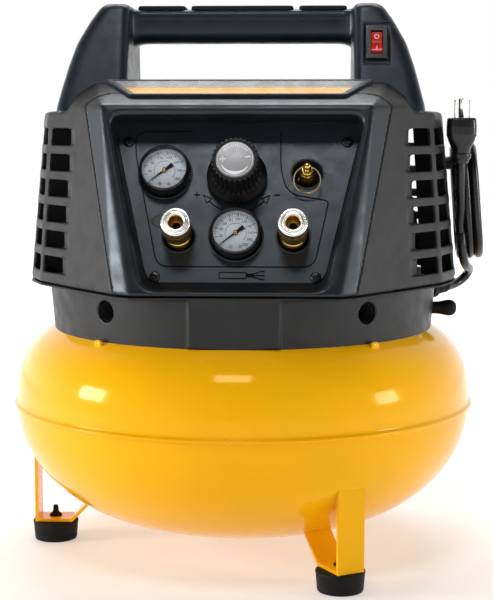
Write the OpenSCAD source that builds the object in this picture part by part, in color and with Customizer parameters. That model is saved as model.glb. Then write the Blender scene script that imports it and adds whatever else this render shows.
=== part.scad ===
// Pancake air compressor: a flat welded air tank on three legs, a two-part plastic
// shroud with a front console and a carrying handle, and a belt-driven pump inside.
// Millimetres. The origin is on the floor under the tank axis, +Z is up, -Y is the front.

/* [Tank] */
// Outer radius of the tank at its weld seam
tank_r = 204; // [196:0.5:206]
// Height of the weld seam above the floor
seam_z = 134; // [130:0.5:140]
// Rise of the upper tank half above the seam
tank_rise = 86; // [82:0.5:90]
// Depth of the lower tank half below the seam
tank_drop = 112; // [106:0.5:114]
// Thickness of the tank wall
tank_wall = 2.5; // [2:0.25:3]

/* [Legs and feet] */
// Distance from the tank axis to the outer face of a leg
leg_r = 191; // [189:0.5:193]
// Width of the steel strip that a leg is bent from
leg_w = 25; // [22:1:30]
// Height of a rubber foot
foot_h = 18.3; // [18:0.1:19]

/* [Shroud] */
// Height of the joint between the lower shroud and the covers
deck_z = 245; // [244:0.5:246]
// Height of the upper edge of the console frame
brow_z = 398.5; // [398:0.5:399]
// Height of the crown of the shroud
crown_z = 418; // [417:0.5:419]
// Wall thickness of the plastic covers
cover_wall = 3; // [2.5:0.25:3.5]

/* [Console] */
// Backward lean of the console panel, in degrees
panel_lean = 25; // [24.5:0.25:25.5]
// Radius of a pressure gauge
gauge_r = 21; // [20:0.5:22]
// Radius of the mouth of a quick coupler
coupler_bore_r = 6; // [5.5:0.25:6.5]

/* [Handle] */
// Height of the top of the handle posts
handle_top = 487; // [485:1:490]
// Half of the clear width between the handle posts
handle_gap = 95.5; // [94:0.5:97]

/* [Pump] */
// Bore radius of the pump cylinder
bore_r = 24; // [22:0.5:25]
// Half of the piston stroke
half_stroke = 11; // [8:0.5:12]

/* [Cord] */
// Diameter of the power cord
cord_d = 8; // [7.5:0.25:8.5]

/* [Hidden] */

$fn = 64;
eps = 0.01;

// tank profile, as a superellipse with its own power across and along the axis
top_powers = [4.2, 2.8];
bottom_powers = [3, 1.9];
profile_steps = 26;
lip_r = 3;
lip_h = 3;

// angles from the front, positive toward +X
leg_angles = [30, -90, 150];
tab_angles = [41, -41, 139, -139];
access_angles = [39, -39, 141, -141];

foot_r = 174;
leg_t = 3;
leg_inner_r = 157;
foot_top_r = 21;
foot_bottom_r = 19;

skirt_top_r = 173;
skirt_bottom_r = 169.5;
skirt_z = 200;
skirt_front_y = -170;

// right half of the shroud's outline at the deck, at the brow and at the crown, front to back
deck_half = [[84, -171], [99, -161], [141, -107], [175, -60], [188, -28], [192, 0], [188, 50], [168, 105], [129, 140], [80, 156]];
brow_half = [[112, -117], [128, -97], [149, -72], [167, -50], [174, -25], [177, 0], [174, 40], [160, 80], [126, 108], [80, 120]];
crown_half = [[104, -70], [124, -62], [130, -40], [130, 40], [112, 72], [80, 80]];

parting_y = -161;
parting_slope = 64 / 153;
rear_split_y = 62;

vent_rows = 6;
vent_top = 379;
vent_pitch = 21.9;
vent_h = 14.3;
vent_lean = 0.075;
vent_rise = 0.035;
// plan outlines of the windows in the lowest row, on the right side
side_windows = [
    [[159, -83.5], [174, -64], [166, -55], [150, -76]],
    [[176, -57], [195, -57], [195, -16], [165, -16], [165, -50]],
    [[165, -10], [200, -10], [200, 22], [165, 22]],
    [[160, 28], [200, 28], [200, 54], [160, 54]]
];
rear_window = [[150, 68], [200, 68], [200, 98], [150, 98]];
rear_slots = 5;

panel_y = -150;
panel_z = 255;
panel_len = 143;
panel_half = [72, 105];
panel_t = 2.5;
frame_half = [73, 105.5];
frame_z = [252, 391];
ledge_w = 9;
corner_r = 12;

gauge_at = [[-60, 96], [0, 41]];
gauge_proud = 14;
knob_at = [0, 92];
knob_teeth_count = 28;
coupler_x = 47;
coupler_s = 40;
relief_at = [58, 96];
relief_pull_t = 16;
screw_spots = [[65.5, 5], [-65.5, 5], [91.5, 124.5], [-91.5, 124.5]];

post_outer = [[122, 487], [133, 471], [143.5, 452], [150, 432], [155, 413], [159, 396], [159, 384]];
post_front_y = -35;
post_lean = 21;
post_back = [45, 60];
post_floor = 384;
bar_z = [453, 483];
bar_y = [-20, 20];

switch_x = 117;
switch_z = 452;
rocker_r = 10.2;
rocker_tilt = 8;

crank_y = -25;
crank_z = 288;
crank_half_x = 30;
cylinder_z = 330;
head_z = 378;
flywheel_x = [70, 88];
flywheel_r = 52;
motor_y = 76;
motor_z = 284;
motor_r = 44;
motor_x = [-95, 30];
pulley_r = 10.4;
running_gap = 0.05;
belt_gap = 0.4;
plate_z = [229, 232];
plate_half_x = 118;

cord_exit = [186, 27, 234];
cord_route = [
    [186, 27, 234], [189, 31, 234], [193, 36, 234.6], [198, 40.6, 236.4], [202.8, 43, 239.6],
    [206.2, 42.6, 243.4], [207.6, 39.5, 247], [207.4, 34, 249.8], [206, 27, 251.6], [204, 19, 253],
    [201.6, 11, 255.6], [199.4, 4, 260], [198, -1, 266]
];
lead_route = [
    [193, -20, 348], [193, -20, 338], [193, -18, 328], [193.6, -14, 316], [194.6, -11, 304], [195, -10.4, 296]
];
hank_y = 30;
hank_x = [193, 221];
hank_z = [262, 368];
hank_tilt = 4.5;
hank_bend_r = 32;
hank_inner_r = 20;
plug_at = [193, -22, 374];

// ---- helpers ----
function circle_pt(a, r) = [r * sin(a), -r * cos(a)];
function half_to_outline(h) = concat(h, [for (i = [len(h) - 1 : -1 : 0]) [-h[i].x, h[i].y]]);
function bend(a, b, c, r, n) =
    let (u = (a - b) / norm(a - b), w = (c - b) / norm(c - b), p = b + u * r, q = b + w * r)
    [for (i = [0 : n]) let (t = i / n) p * pow(1 - t, 2) + b * 2 * t * (1 - t) + q * pow(t, 2)];
function rounded(pts, r, n = 5) =
    [for (i = [0 : len(pts) - 1])
        each bend(pts[(i + len(pts) - 1) % len(pts)], pts[i], pts[(i + 1) % len(pts)], r, n)];
function trapezoid(half, len) = [[-half[0], 0], [half[0], 0], [half[1], len], [-half[1], len]];
function unit(v) = v / norm(v);
function tangent(pts, i) = unit(pts[min(i + 1, len(pts) - 1)] - pts[max(i - 1, 0)]);
// one ring of a tube around a route point, kept square to the local direction
function tube_ring(pts, i, r, sides) =
    let (t = tangent(pts, i), side = unit(cross(t, [0.3, 1, 0.1])), up = cross(side, t))
    [for (k = [0 : sides - 1]) pts[i] + side * r * cos(360 * k / sides) + up * r * sin(360 * k / sides)];

module tube(pts, r, sides = 10) {
    n = len(pts);
    rings = [for (i = [0 : n - 1]) each tube_ring(pts, i, r, sides)];
    walls = [for (i = [0 : n - 2], k = [0 : sides - 1])
        each let (a = i * sides + k, b = i * sides + (k + 1) % sides, c = b + sides, d = a + sides)
        [[a, b, c], [a, c, d]]];
    first_cap = [for (k = [sides - 1 : -1 : 0]) k];
    last_cap = [for (k = [0 : sides - 1]) (n - 1) * sides + k];
    polyhedron(points = rings, faces = concat([first_cap, last_cap], walls));
}

module around(a) { rotate([0, 0, a]) children(); }

// local frame on the console: X across, Y up the panel, Z out of it
module on_panel(x, s, t = 0) {
    translate([x, panel_y + s * sin(panel_lean), panel_z + s * cos(panel_lean)])
        rotate([90 - panel_lean, 0, 0]) translate([0, 0, t]) children();
}

// local frame on the front face of the right handle post
module on_post(t = 0) {
    translate([switch_x, post_front_y - (handle_top - switch_z) * tan(post_lean), switch_z])
        rotate([90 - post_lean, 0, 0]) translate([0, 0, t]) children();
}

module along_x(y, z, x0, x1, r) {
    translate([x0, y, z]) rotate([0, 90, 0]) cylinder(h = x1 - x0, r = r);
}

module block(lo, hi) { translate(lo) cube(hi - lo); }

// ---- tank ----
function cap_profile(r, rise, powers) =
    [for (i = [0 : profile_steps]) let (h = sin(90 * i / profile_steps))
        [r * pow(1 - pow(h, powers[1]), 1 / powers[0]), rise * h]];

module half_solid(r, rise, powers) {
    rotate_extrude($fn = 128) polygon(concat([[0, 0]], cap_profile(r, rise, powers)));
}

module tank_top(inset = 0) {
    translate([0, 0, seam_z]) half_solid(tank_r - inset, tank_rise - inset, top_powers);
}

module tank_bottom(inset = 0) {
    translate([0, 0, seam_z]) mirror([0, 0, 1])
        half_solid(tank_r - inset, tank_drop - inset, bottom_powers);
}

bung_spots = [[-68, -5, 12], [30, -100, 9]];
module bung_holes() {
    for (b = bung_spots) translate([b.x, b.y, seam_z + 20]) cylinder(h = tank_rise, r = b.z);
}

drain_angle = -150;
drain_r = 157;
drain_z = 50;
module at_drain() {
    translate([circle_pt(drain_angle, drain_r).x, circle_pt(drain_angle, drain_r).y, drain_z])
        around(drain_angle) rotate([135, 0, 0]) children();
}

function reversed(pts) = [for (i = [len(pts) - 1 : -1 : 0]) pts[i]];

// half of the tank as one turned shell, open at the seam
module half_shell(rise, powers, rim) {
    wall = [for (p = cap_profile(tank_r, rise, powers)) if (p.y >= rim[1]) p];
    inner = reversed(cap_profile(tank_r - tank_wall, rise - tank_wall, powers));
    rotate_extrude($fn = 128) polygon(concat(
        [[tank_r + rim[0], 0], [tank_r + rim[0], rim[1]]], [for (p = wall) if (p.y > 0) p], inner));
}

module tank_upper_shell() {
    color("goldenrod") difference() {
        translate([0, 0, seam_z]) half_shell(tank_rise, top_powers, [lip_r, lip_h]);
        bung_holes();
    }
}

module tank_lower_shell() {
    color("goldenrod") difference() {
        translate([0, 0, seam_z]) mirror([0, 0, 1]) half_shell(tank_drop, bottom_powers, [0, 0]);
        at_drain() translate([0, 0, -15]) cylinder(h = 40, r = 8);
    }
}

module tank_bungs() {
    color("goldenrod") {
        for (b = bung_spots) translate([b.x, b.y, 0]) difference() {
            translate([0, 0, 206]) cylinder(h = 16, r = b.z);
            translate([0, 0, 200]) cylinder(h = 30, r = b.z - 4.5);
        }
        at_drain() difference() {
            translate([0, 0, -8]) cylinder(h = 14, r = 8);
            translate([0, 0, -10]) cylinder(h = 20, r = 4);
        }
    }
}

module drain_valve_body() {
    color("peru") at_drain() difference() {
        union() {
            translate([0, 0, 6]) cylinder(h = 10, r = 7.5, $fn = 6);
            translate([0, 0, -6]) cylinder(h = 12, r = 4);
        }
        translate([0, 0, 4]) cylinder(h = 20, r = 3);
    }
}

module drain_valve_wing() {
    color("peru") at_drain() {
        translate([0, 0, 8]) cylinder(h = 12, r = 3 - running_gap);
        translate([0, 0, 16.3]) cylinder(h = 3.7, r = 5);
        translate([-12, -1.25, 17]) cube([24, 2.5, 7]);
    }
}

// ---- legs and feet ----
module leg_strip() {
    rotate([90, 0, 90]) translate([0, 0, -leg_w / 2]) linear_extrude(leg_w) polygon([
        [-leg_r, 95], [-leg_r, foot_h], [-leg_inner_r, foot_h], [-(leg_inner_r - 26), foot_h + 26],
        [-(leg_inner_r - 26) - leg_t * 1.4, foot_h + 26], [-leg_inner_r - leg_t * 0.4, foot_h + leg_t],
        [-leg_r + leg_t, foot_h + leg_t], [-leg_r + leg_t, 95]
    ]);
}

module leg(a) {
    color("goldenrod") difference() {
        around(a) difference() {
            leg_strip();
            translate([0, -foot_r, 0]) cylinder(h = 60, r = 4.1);
        }
        tank_bottom();
    }
}

module foot(a) {
    color("dimgray") around(a) translate([0, -foot_r, 0]) {
        cylinder(h = foot_h, r1 = foot_bottom_r, r2 = foot_top_r);
        cylinder(h = foot_h + leg_t, r = 4.1);
        cylinder(h = foot_h + 13, r = 2.6);
    }
}

module shroud_mount_tabs() {
    color("goldenrod") difference() {
        for (a = tab_angles) around(a) translate([-4.5, -skirt_top_r - 3.3, 188]) cube([9, 4.2, 17]);
        tank_top();
    }
}

// ---- shroud ----
module outline(h, inset = 0) {
    if (inset == 0) polygon(half_to_outline(h));
    else offset(delta = -inset) polygon(half_to_outline(h));
}

module shroud_solid(inset = 0) {
    hull() {
        translate([0, 0, deck_z - (inset > 0 ? 2 : 0)]) linear_extrude(eps) outline(deck_half, inset);
        translate([0, 0, brow_z - inset / 3]) linear_extrude(eps) outline(brow_half, inset);
        translate([0, 0, crown_z - inset]) linear_extrude(eps) outline(crown_half, inset / 3);
    }
}

module shroud_shell() {
    difference() {
        shroud_solid();
        shroud_solid(cover_wall);
    }
}

module front_region() {
    rotate([90, 0, 90]) translate([0, 0, -220]) linear_extrude(440) polygon([
        [-260, 230], [parting_y - (deck_z - 230) * parting_slope, 230],
        [parting_y + (440 - deck_z) * parting_slope, 440], [-260, 440]
    ]);
}

module rear_region() { block([-220, rear_split_y, 230], [220, 230, 440]); }

module lower_shroud() {
    color("#3c3d40") difference() {
        union() {
            intersection() {
                rotate_extrude($fn = 128) polygon([
                    [skirt_bottom_r - 3.5, skirt_z], [skirt_bottom_r, skirt_z],
                    [skirt_top_r, deck_z - 2], [skirt_top_r - 3.5, deck_z - 2]
                ]);
                block([-200, skirt_front_y, 190], [200, 200, 260]);
            }
            translate([0, 0, deck_z - 2]) linear_extrude(2) difference() {
                outline(deck_half);
                circle(r = 160, $fn = 128);
            }
            intersection() {
                block([-60, skirt_front_y, skirt_z + 4], [60, skirt_front_y + 3.5, deck_z - 2]);
                cylinder(h = 300, r = skirt_bottom_r + 2, $fn = 128);
            }
        }
        tank_top();
        for (a = access_angles) around(a) translate([0, -skirt_top_r + 20, 229])
            rotate([90, 0, 0]) cylinder(h = 40, r = 9);
        at_relief_gland() translate([0, 0, -40]) cylinder(h = 60, r = 6);
    }
}

// ---- console ----
frame_lean = atan((171 - 117) / (brow_z - deck_z));
frame_len = (frame_z[1] - frame_z[0]) / cos(frame_lean);

module recess(grow = 0) {
    hull() {
        translate([0, -171 + (frame_z[0] - deck_z) * tan(frame_lean) - 1, frame_z[0] - grow])
            rotate([90 - frame_lean, 0, 0]) linear_extrude(1)
                polygon(rounded(trapezoid(frame_half + [grow, grow], frame_len + 2 * grow), corner_r));
        on_panel(0, -grow, grow > 0 ? -panel_t - 3 : -1) linear_extrude(eps)
            polygon(rounded(trapezoid(panel_half + [grow, grow], panel_len + 2 * grow), corner_r));
    }
}

module panel_outline(inset = 0) {
    polygon(rounded(trapezoid(panel_half - [inset, inset], panel_len - 2 * inset), corner_r - inset / 2));
}

module screw_bosses() {
    for (p = screw_spots) on_panel(p.x, p.y, -14) cylinder(h = 12, r = 5);
}

module front_cover() {
    color("#3c3d40") difference() {
        union() {
            difference() {
                union() {
                    intersection() {
                        shroud_shell();
                        front_region();
                    }
                    intersection() {
                        recess(cover_wall);
                        shroud_solid();
                        on_panel(-150, -50, -panel_t - 2.5) cube([300, 300, 100]);
                    }
                }
                on_panel(0, ledge_w, -20) linear_extrude(30) panel_outline(ledge_w);
            }
            screw_bosses();
        }
        recess();
        on_panel(0, 0, -panel_t) linear_extrude(panel_t + 1) offset(delta = 0.1) panel_outline();
        for (p = screw_spots) on_panel(p.x, p.y, -20) cylinder(h = 30, r = 2);
    }
}

module console_panel() {
    color("#25282e") difference() {
        on_panel(0, 0, -panel_t) linear_extrude(panel_t - 2 * eps) offset(delta = -0.3) panel_outline();
        for (g = gauge_at) on_panel(g.x, g.y, -10) cylinder(h = 20, r = gauge_r + 0.2);
        on_panel(knob_at.x, knob_at.y, -10) cylinder(h = 20, r = 14.2);
        for (x = [-coupler_x, coupler_x]) on_panel(x, coupler_s, -10) cylinder(h = 20, r = 13.5);
        on_panel(relief_at.x, relief_at.y, -10) cylinder(h = 20, r = 14);
        for (p = screw_spots) on_panel(p.x, p.y, -10) cylinder(h = 20, r = 2.2);
    }
}

module console_screws() {
    color("black") for (p = screw_spots) on_panel(p.x, p.y) {
        cylinder(h = 2.4, r = 4.4);
        translate([0, 0, -11]) cylinder(h = 11, r = 2);
    }
}

// ---- covers behind the console ----
module vent_row_cuts(windows) {
    for (side = [1, -1], i = [0 : vent_rows - 1]) {
        z = vent_top - vent_h - i * vent_pitch;
        shift = [-(z - 255) * vent_lean, (z - 255) * vent_rise, z];
        scale([side, 1, 1]) translate(shift) linear_extrude(vent_h)
            for (w = windows) polygon(w);
    }
}

module main_cover() {
    color("#3c3d40") difference() {
        shroud_shell();
        front_region();
        rear_region();
        vent_row_cuts(side_windows);
        handle_envelope();
        cord_hook_arm(0.01);
    }
}

module rear_cover() {
    color("#3c3d40") difference() {
        intersection() {
            shroud_shell();
            rear_region();
        }
        vent_row_cuts([rear_window]);
        for (i = [0 : rear_slots - 1])
            block([-60, rear_split_y - 2, 275 + i * 22], [60, 200, 287 + i * 22]);
        for (x = [-110, 110]) translate([x, 60, 262]) rotate([-90, 0, 0]) cylinder(h = 140, r = 2.6);
    }
}

module cover_screws() {
    color("black") for (x = [-110, 110]) translate([x, 0, 262]) rotate([-90, 0, 0]) {
        translate([0, 0, 120]) cylinder(h = 36, r = 2.5);
        translate([0, 0, 153]) cylinder(h = 3, r = 5);
    }
}

label_slope = atan((418 - 398.5) / (117 - 70));
module on_label(t = 0) {
    translate([0, -117, brow_z]) rotate([label_slope, 0, 0]) translate([0, 0, t]) children();
}

module label_plate() {
    color("#2b2c30") on_label(0.02) difference() {
        translate([0, 16, 0]) linear_extrude(3) polygon([[-90, 0], [90, 0], [114, 35], [-114, 35]]);
        translate([0, 18, 2]) linear_extrude(2) polygon([[-87, 0], [87, 0], [108, 31], [-108, 31]]);
    }
}

module label_decal() {
    color("silver") on_label(2.02) translate([0, 18, 0]) linear_extrude(0.6)
        offset(delta = -0.2) polygon([[-87, 0], [87, 0], [108, 31], [-108, 31]]);
}

// ---- handle ----
module post_solid(inset = 0, side = 1) {
    scale([side, 1, 1]) intersection() {
        rotate([90, 0, 0]) translate([0, 0, -100]) linear_extrude(200) polygon(concat(
            [[handle_gap + inset, post_floor - (inset > 0 ? 1 : 0)]],
            [[handle_gap + inset, handle_top - inset]],
            [for (p = post_outer) [p.x - inset, min(p.y, handle_top - inset) - (inset > 0 && p.y == post_floor ? 1 : 0)]]
        ));
        rotate([90, 0, 90]) linear_extrude(200) polygon([
            [post_front_y + inset, handle_top + 1], [post_back[0] - inset, handle_top + 1],
            [post_back[1] - inset, post_floor - 2],
            [post_front_y - (handle_top - post_floor + 2) * tan(post_lean) + inset, post_floor - 2]
        ]);
    }
}

module handle_envelope() {
    for (side = [-1, 1]) post_solid(0, side);
}

module handle_frame() {
    color("#222327") difference() {
        union() {
            handle_envelope();
            block([-handle_gap - 1, bar_y[0], bar_z[0]], [handle_gap + 1, bar_y[1], bar_z[1]]);
        }
        for (side = [-1, 1]) post_solid(4, side);
        on_post(-1.5) translate([-11.5, -19.5, 0]) cube([23, 39, 5]);
        on_post(-12) translate([-7.5, -13.5, 0]) cube([15, 27, 14]);
    }
}

module handle_grip_pads() {
    color("#1d1e21") for (span = [[-92, -50], [-45, 45], [50, 92]])
        block([span[0], bar_y[0] + 3, bar_z[1]], [span[1], bar_y[1] - 3, bar_z[1] + 3]);
}

module handle_straps() {
    color("silver") for (side = [-1, 1]) scale([side, 1, 1])
        block([112, -18, plate_z[1]], [115, 18, 440]);
}

module switch_body() {
    color("#16171a") on_post(-1.5) difference() {
        union() {
            translate([-9.5, -15.5, 0]) cube([19, 31, 3.2]);
            translate([-7.5, -13.5, -18]) cube([15, 27, 18]);
        }
        translate([-5.1, -rocker_r - 0.5, -14]) cube([10.2, 2 * rocker_r + 1, 20]);
    }
}

module rocker_shape() {
    rotate([0, 90, 0]) intersection() {
        cylinder(h = 9.6, r = rocker_r, center = true);
        linear_extrude(20, center = true) polygon([
            [8, -6], [8, 6], [-2.6, rocker_r + 1], [-2.6 - 2, rocker_r + 1], [-1.6, 0],
            [-2.6 - 2, -rocker_r - 1], [-2.6, -rocker_r - 1]
        ]);
    }
}

module switch_rocker() {
    color("firebrick") on_post(-2.4) rotate([-rocker_tilt, 0, 0]) rocker_shape();
}

// ---- gauges ----
module gauge_case(g, stem_len) {
    color("black") on_panel(g.x, g.y) difference() {
        union() {
            translate([0, 0, -16]) cylinder(h = 16 + gauge_proud, r = gauge_r);
            translate([0, 0, -16 - stem_len]) cylinder(h = stem_len, r = 5);
        }
        translate([0, 0, 5]) cylinder(h = 20, r = gauge_r - 2.4);
    }
}

module gauge_dials() {
    color("white") for (g = gauge_at) on_panel(g.x, g.y, 5) {
        cylinder(h = 1, r = gauge_r - 2.4);
        cylinder(h = 3, r = 0.8);
    }
}

module gauge_needle(g) {
    color("black") on_panel(g.x, g.y, 6.6) difference() {
        union() {
            cylinder(h = 1.2, r = 2);
            rotate([0, 0, 218]) translate([-7, -0.7, 0]) cube([22, 1.4, 0.8]);
        }
        translate([0, 0, -1]) cylinder(h = 4, r = 0.85);
    }
}

module gauge_lenses() {
    color("lightblue") for (g = gauge_at) on_panel(g.x, g.y, 11)
        cylinder(h = 1.5, r = gauge_r - 2.4);
}

// ---- regulator, couplers, relief valve, manifold ----
module regulator_body() {
    color("dimgray") on_panel(knob_at.x, knob_at.y) {
        translate([0, 0, -45]) cylinder(h = 42, r = 20);
        translate([0, 0, -3.01]) cylinder(h = 3.5, r = 14);
        cylinder(h = 3, r = 17);
        cylinder(h = 24, r = 4);
    }
}

function knob_teeth(r, depth, count) =
    [for (i = [0 : count - 1], k = [0, 1, 2, 3])
        let (a = 360 * (i + [0, 0.2, 0.5, 0.7][k]) / count, d = k < 2 ? 0 : depth) (r - d) * [cos(a), sin(a)]];

module regulator_knob() {
    color("#1b1c1f") on_panel(knob_at.x, knob_at.y) difference() {
        union() {
            translate([0, 0, 3.4]) cylinder(h = 3, r = 25);
            translate([0, 0, 6.4]) cylinder(h = 7, r1 = 25, r2 = 20.5);
            translate([0, 0, 13]) linear_extrude(26.4) polygon(knob_teeth(19.6, 1.2, knob_teeth_count));
        }
        translate([0, 0, 3]) cylinder(h = 21.4, r = 4 + running_gap);
        translate([0, 0, 38.6]) cylinder(h = 2, r = 16);
    }
}

module regulator_knob_cap() {
    color("silver") on_panel(knob_at.x, knob_at.y, 38.6) cylinder(h = 1.2, r = 15.6);
}

module coupler_body(x) {
    color("goldenrod") on_panel(x, coupler_s) difference() {
        union() {
            translate([0, 0, -19]) cylinder(h = 52.5, r = 9);
            translate([0, 0, -8]) cylinder(h = 15, r = 11);
        }
        translate([0, 0, -15]) cylinder(h = 60, r = coupler_bore_r);
    }
}

module coupler_sleeve(x) {
    color("whitesmoke") on_panel(x, coupler_s) difference() {
        union() {
            translate([0, 0, 12]) cylinder(h = 22, r = 11.3);
            translate([0, 0, 29]) cylinder(h = 5, r = 12);
            for (t = [13, 17.5, 22]) translate([0, 0, t]) cylinder(h = 2.6, r = 12);
        }
        cylinder(h = 60, r = 9 + running_gap);
    }
}

module relief_valve_body() {
    color("darkgoldenrod") on_panel(relief_at.x, relief_at.y) difference() {
        union() {
            translate([0, 0, -36]) cylinder(h = 26, r = 8, $fn = 6);
            translate([0, 0, -10]) cylinder(h = 20, r = 7);
        }
        translate([0, 0, -20]) cylinder(h = 40, r = 2.5 + running_gap);
    }
}

module relief_valve_stem() {
    color("gold") on_panel(relief_at.x, relief_at.y) {
        translate([0, 0, -14]) cylinder(h = 25.5, r = 2.5);
        difference() {
            translate([-1.5, -3.5, 11]) cube([3, 7, 8]);
            translate([-3, 0, relief_pull_t]) rotate([0, 90, 0]) cylinder(h = 6, r = 1.2);
        }
    }
}

module relief_valve_ring() {
    color("silver") on_panel(relief_at.x, relief_at.y, relief_pull_t)
        rotate([-(90 - panel_lean), 0, 0]) rotate([90, 0, 0]) translate([0, -11, 0])
            rotate_extrude() translate([11, 0]) circle(r = 0.9, $fn = 24);
}

module air_manifold() {
    color("darkgoldenrod") difference() {
        union() {
            on_panel(0, coupler_s) translate([-68, -11, -41]) cube([136, 22, 22]);
            for (x = [gauge_at[0].x, relief_at.x]) on_panel(x, coupler_s + 9, -30)
                rotate([-90, 0, 0]) cylinder(h = 43, r = 5);
            on_panel(0, coupler_s + 9, -30) rotate([-90, 0, 0]) cylinder(h = 32, r = 6);
            translate([30, -100, 222]) cylinder(h = 50, r = 5);
        }
        on_panel(knob_at.x, knob_at.y, -60) cylinder(h = 60, r = 20);
        on_panel(relief_at.x, relief_at.y, -36) cylinder(h = 26, r = 8, $fn = 6);
        on_panel(gauge_at[0].x, gauge_at[0].y, -40) cylinder(h = 40, r = 5);
    }
}

// ---- pump ----
module pump_bolt_holes() {
    for (x = [-45, 45], y = [-45, 0]) translate([x, y, 215]) cylinder(h = 40, r = 2.5);
}

module pump_deck() {
    color("slategray") difference() {
        union() {
            block([-plate_half_x, -56, plate_z[0]], [plate_half_x, 112, plate_z[1]]);
            for (x = [-80, 80], y = [-45, 95]) translate([x, y, 195]) cylinder(h = 35, r = 9);
            for (x = [-60, 5])
                block([x - 8, motor_y - 30, plate_z[0]], [x + 8, motor_y + 30, motor_z - 15]);
        }
        tank_top();
        along_x(motor_y, motor_z, -90, 20, motor_r);
        translate([bung_spots[0].x, bung_spots[0].y, 200]) cylinder(h = 60, r = 13);
        along_x(crank_y, crank_z, flywheel_x[0] - 4, flywheel_x[1] + 4, flywheel_r + 9);
        pump_bolt_holes();
    }
}

module motor_housing() {
    color("gray") difference() {
        along_x(motor_y, motor_z, motor_x[0], motor_x[1], motor_r);
        along_x(motor_y, motor_z, motor_x[0] + 8, motor_x[1] - 8, motor_r - 6);
        along_x(motor_y, motor_z, motor_x[0] - 1, motor_x[1] + 1, 6 + running_gap);
    }
}

module motor_rotor() {
    color("silver") {
        along_x(motor_y, motor_z, motor_x[0] - 4, flywheel_x[1] + 2, 6);
        along_x(motor_y, motor_z, motor_x[0] + 14, motor_x[1] - 14, motor_r - 9);
        along_x(motor_y, motor_z, flywheel_x[0] + 3, flywheel_x[1] - 3, pulley_r);
    }
}

module crankcase() {
    color("lightslategray") difference() {
        union() {
            block([-crank_half_x, crank_y - 33, plate_z[1]], [crank_half_x, crank_y + 33, cylinder_z]);
            block([-52, crank_y - 25, plate_z[1]], [52, crank_y + 31, plate_z[1] + 5]);
        }
        block([5 - crank_half_x, crank_y - 28, plate_z[1] + 10], [crank_half_x - 5, crank_y + 28, cylinder_z + 1]);
        along_x(crank_y, crank_z, 0, crank_half_x + 1, 7 + running_gap);
        pump_bolt_holes();
    }
}

module crankshaft_flywheel() {
    color("dimgray") {
        along_x(crank_y, crank_z, 14, flywheel_x[1] + 3, 7);
        along_x(crank_y, crank_z, 14, 22, 21);
        along_x(crank_y, crank_z - half_stroke, 11.6, 15, 5);
        difference() {
            along_x(crank_y, crank_z, flywheel_x[0], flywheel_x[1], flywheel_r);
            translate([0, crank_y, crank_z]) for (i = [0 : 5]) rotate([60 * i, 0, 0])
                along_x(0, 29, flywheel_x[0] - 1, flywheel_x[1] + 1, 11);
        }
    }
}

module pump_cylinder() {
    color("silver") difference() {
        union() {
            translate([0, crank_y, cylinder_z]) cylinder(h = 48, r = bore_r + 5);
            for (i = [0 : 4]) translate([-34, crank_y - 32, cylinder_z + 6 + 8 * i]) cube([68, 64, 2.5]);
            translate([-34, crank_y - 32, head_z]) cube([68, 64, 8]);
            for (i = [0 : 6]) translate([-33 + 10 * i, crank_y - 32, head_z + 8]) cube([3, 64, 16]);
        }
        translate([0, crank_y, cylinder_z - 1]) cylinder(h = head_z - cylinder_z + 1, r = bore_r);
    }
}

module intake_filter() {
    color("#1c1d20") {
        along_x(crank_y - 14, head_z + 4, -46, -34, 6);
        along_x(crank_y - 14, head_z + 4, -72, -46, 15);
    }
}

module piston_rod() {
    pin_z = crank_z - half_stroke;
    color("gainsboro") {
        translate([0, crank_y, 342]) cylinder(h = 12, r = bore_r - running_gap);
        block([3, crank_y - 6, pin_z + 10], [11, crank_y + 6, 343]);
        difference() {
            along_x(crank_y, pin_z, 3, 11, 12);
            along_x(crank_y, pin_z, 2, 12, 8);
        }
    }
}

module drive_belt() {
    color("black") difference() {
        hull() {
            along_x(crank_y, crank_z, flywheel_x[0] + 4, flywheel_x[1] - 4, flywheel_r + belt_gap + 3);
            along_x(motor_y, motor_z, flywheel_x[0] + 4, flywheel_x[1] - 4, pulley_r + belt_gap + 3);
        }
        hull() {
            along_x(crank_y, crank_z, flywheel_x[0] - 4, flywheel_x[1] + 4, flywheel_r + belt_gap);
            along_x(motor_y, motor_z, flywheel_x[0] - 4, flywheel_x[1] + 4, pulley_r + belt_gap);
        }
    }
}

module pressure_switch() {
    color("#1c1d20") block([-108, -52, plate_z[1]], [-72, -16, 300]);
}

module check_valve() {
    color("darkgoldenrod") translate([bung_spots[0].x, bung_spots[0].y, 222]) {
        cylinder(h = 14, r = 11, $fn = 6);
        translate([0, 0, 14]) cylinder(h = 10, r = 8);
    }
}

tube_x = -68;
tube_bend = 14;
module delivery_tube() {
    turn = [for (a = [0 : 15 : 90])
        [tube_x + tube_bend * (1 - sin(a)), crank_y + 20, 382 - tube_bend * (1 - cos(a))]];
    color("peru") tube(concat([[-34, crank_y + 20, 382]], turn, [[tube_x, -5, 340], [tube_x, -5, 246]]), 3.9);
}

// ---- cord ----
module at_relief_gland() {
    translate(cord_exit) rotate([0, 90, 53]) children();
}

module cord_hook_arm(grow = 0) {
    along_x(hank_y, 347, 170, 208, 6 + grow);
}

module skirt_envelope() {
    difference() {
        rotate_extrude($fn = 128) polygon([
            [0, skirt_z], [skirt_bottom_r, skirt_z], [skirt_top_r, deck_z - 2], [0, deck_z - 2]
        ]);
        at_relief_gland() translate([0, 0, -40]) cylinder(h = 60, r = 6);
    }
}

module cord_hooks() {
    color("#222327") {
        difference() {
            cord_hook_arm();
            shroud_solid(cover_wall);
        }
        difference() {
            union() {
                along_x(-12, 219, 168, 186, 5);
                translate([186, -12, 219]) sphere(r = 6);
                at_relief_gland() translate([0, 0, -32]) cylinder(h = 32, r1 = 6, r2 = 4.6);
                at_relief_gland() translate([0, 0, -24]) cylinder(h = 4, r = 8.5);
            }
            skirt_envelope();
        }
    }
}

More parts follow.
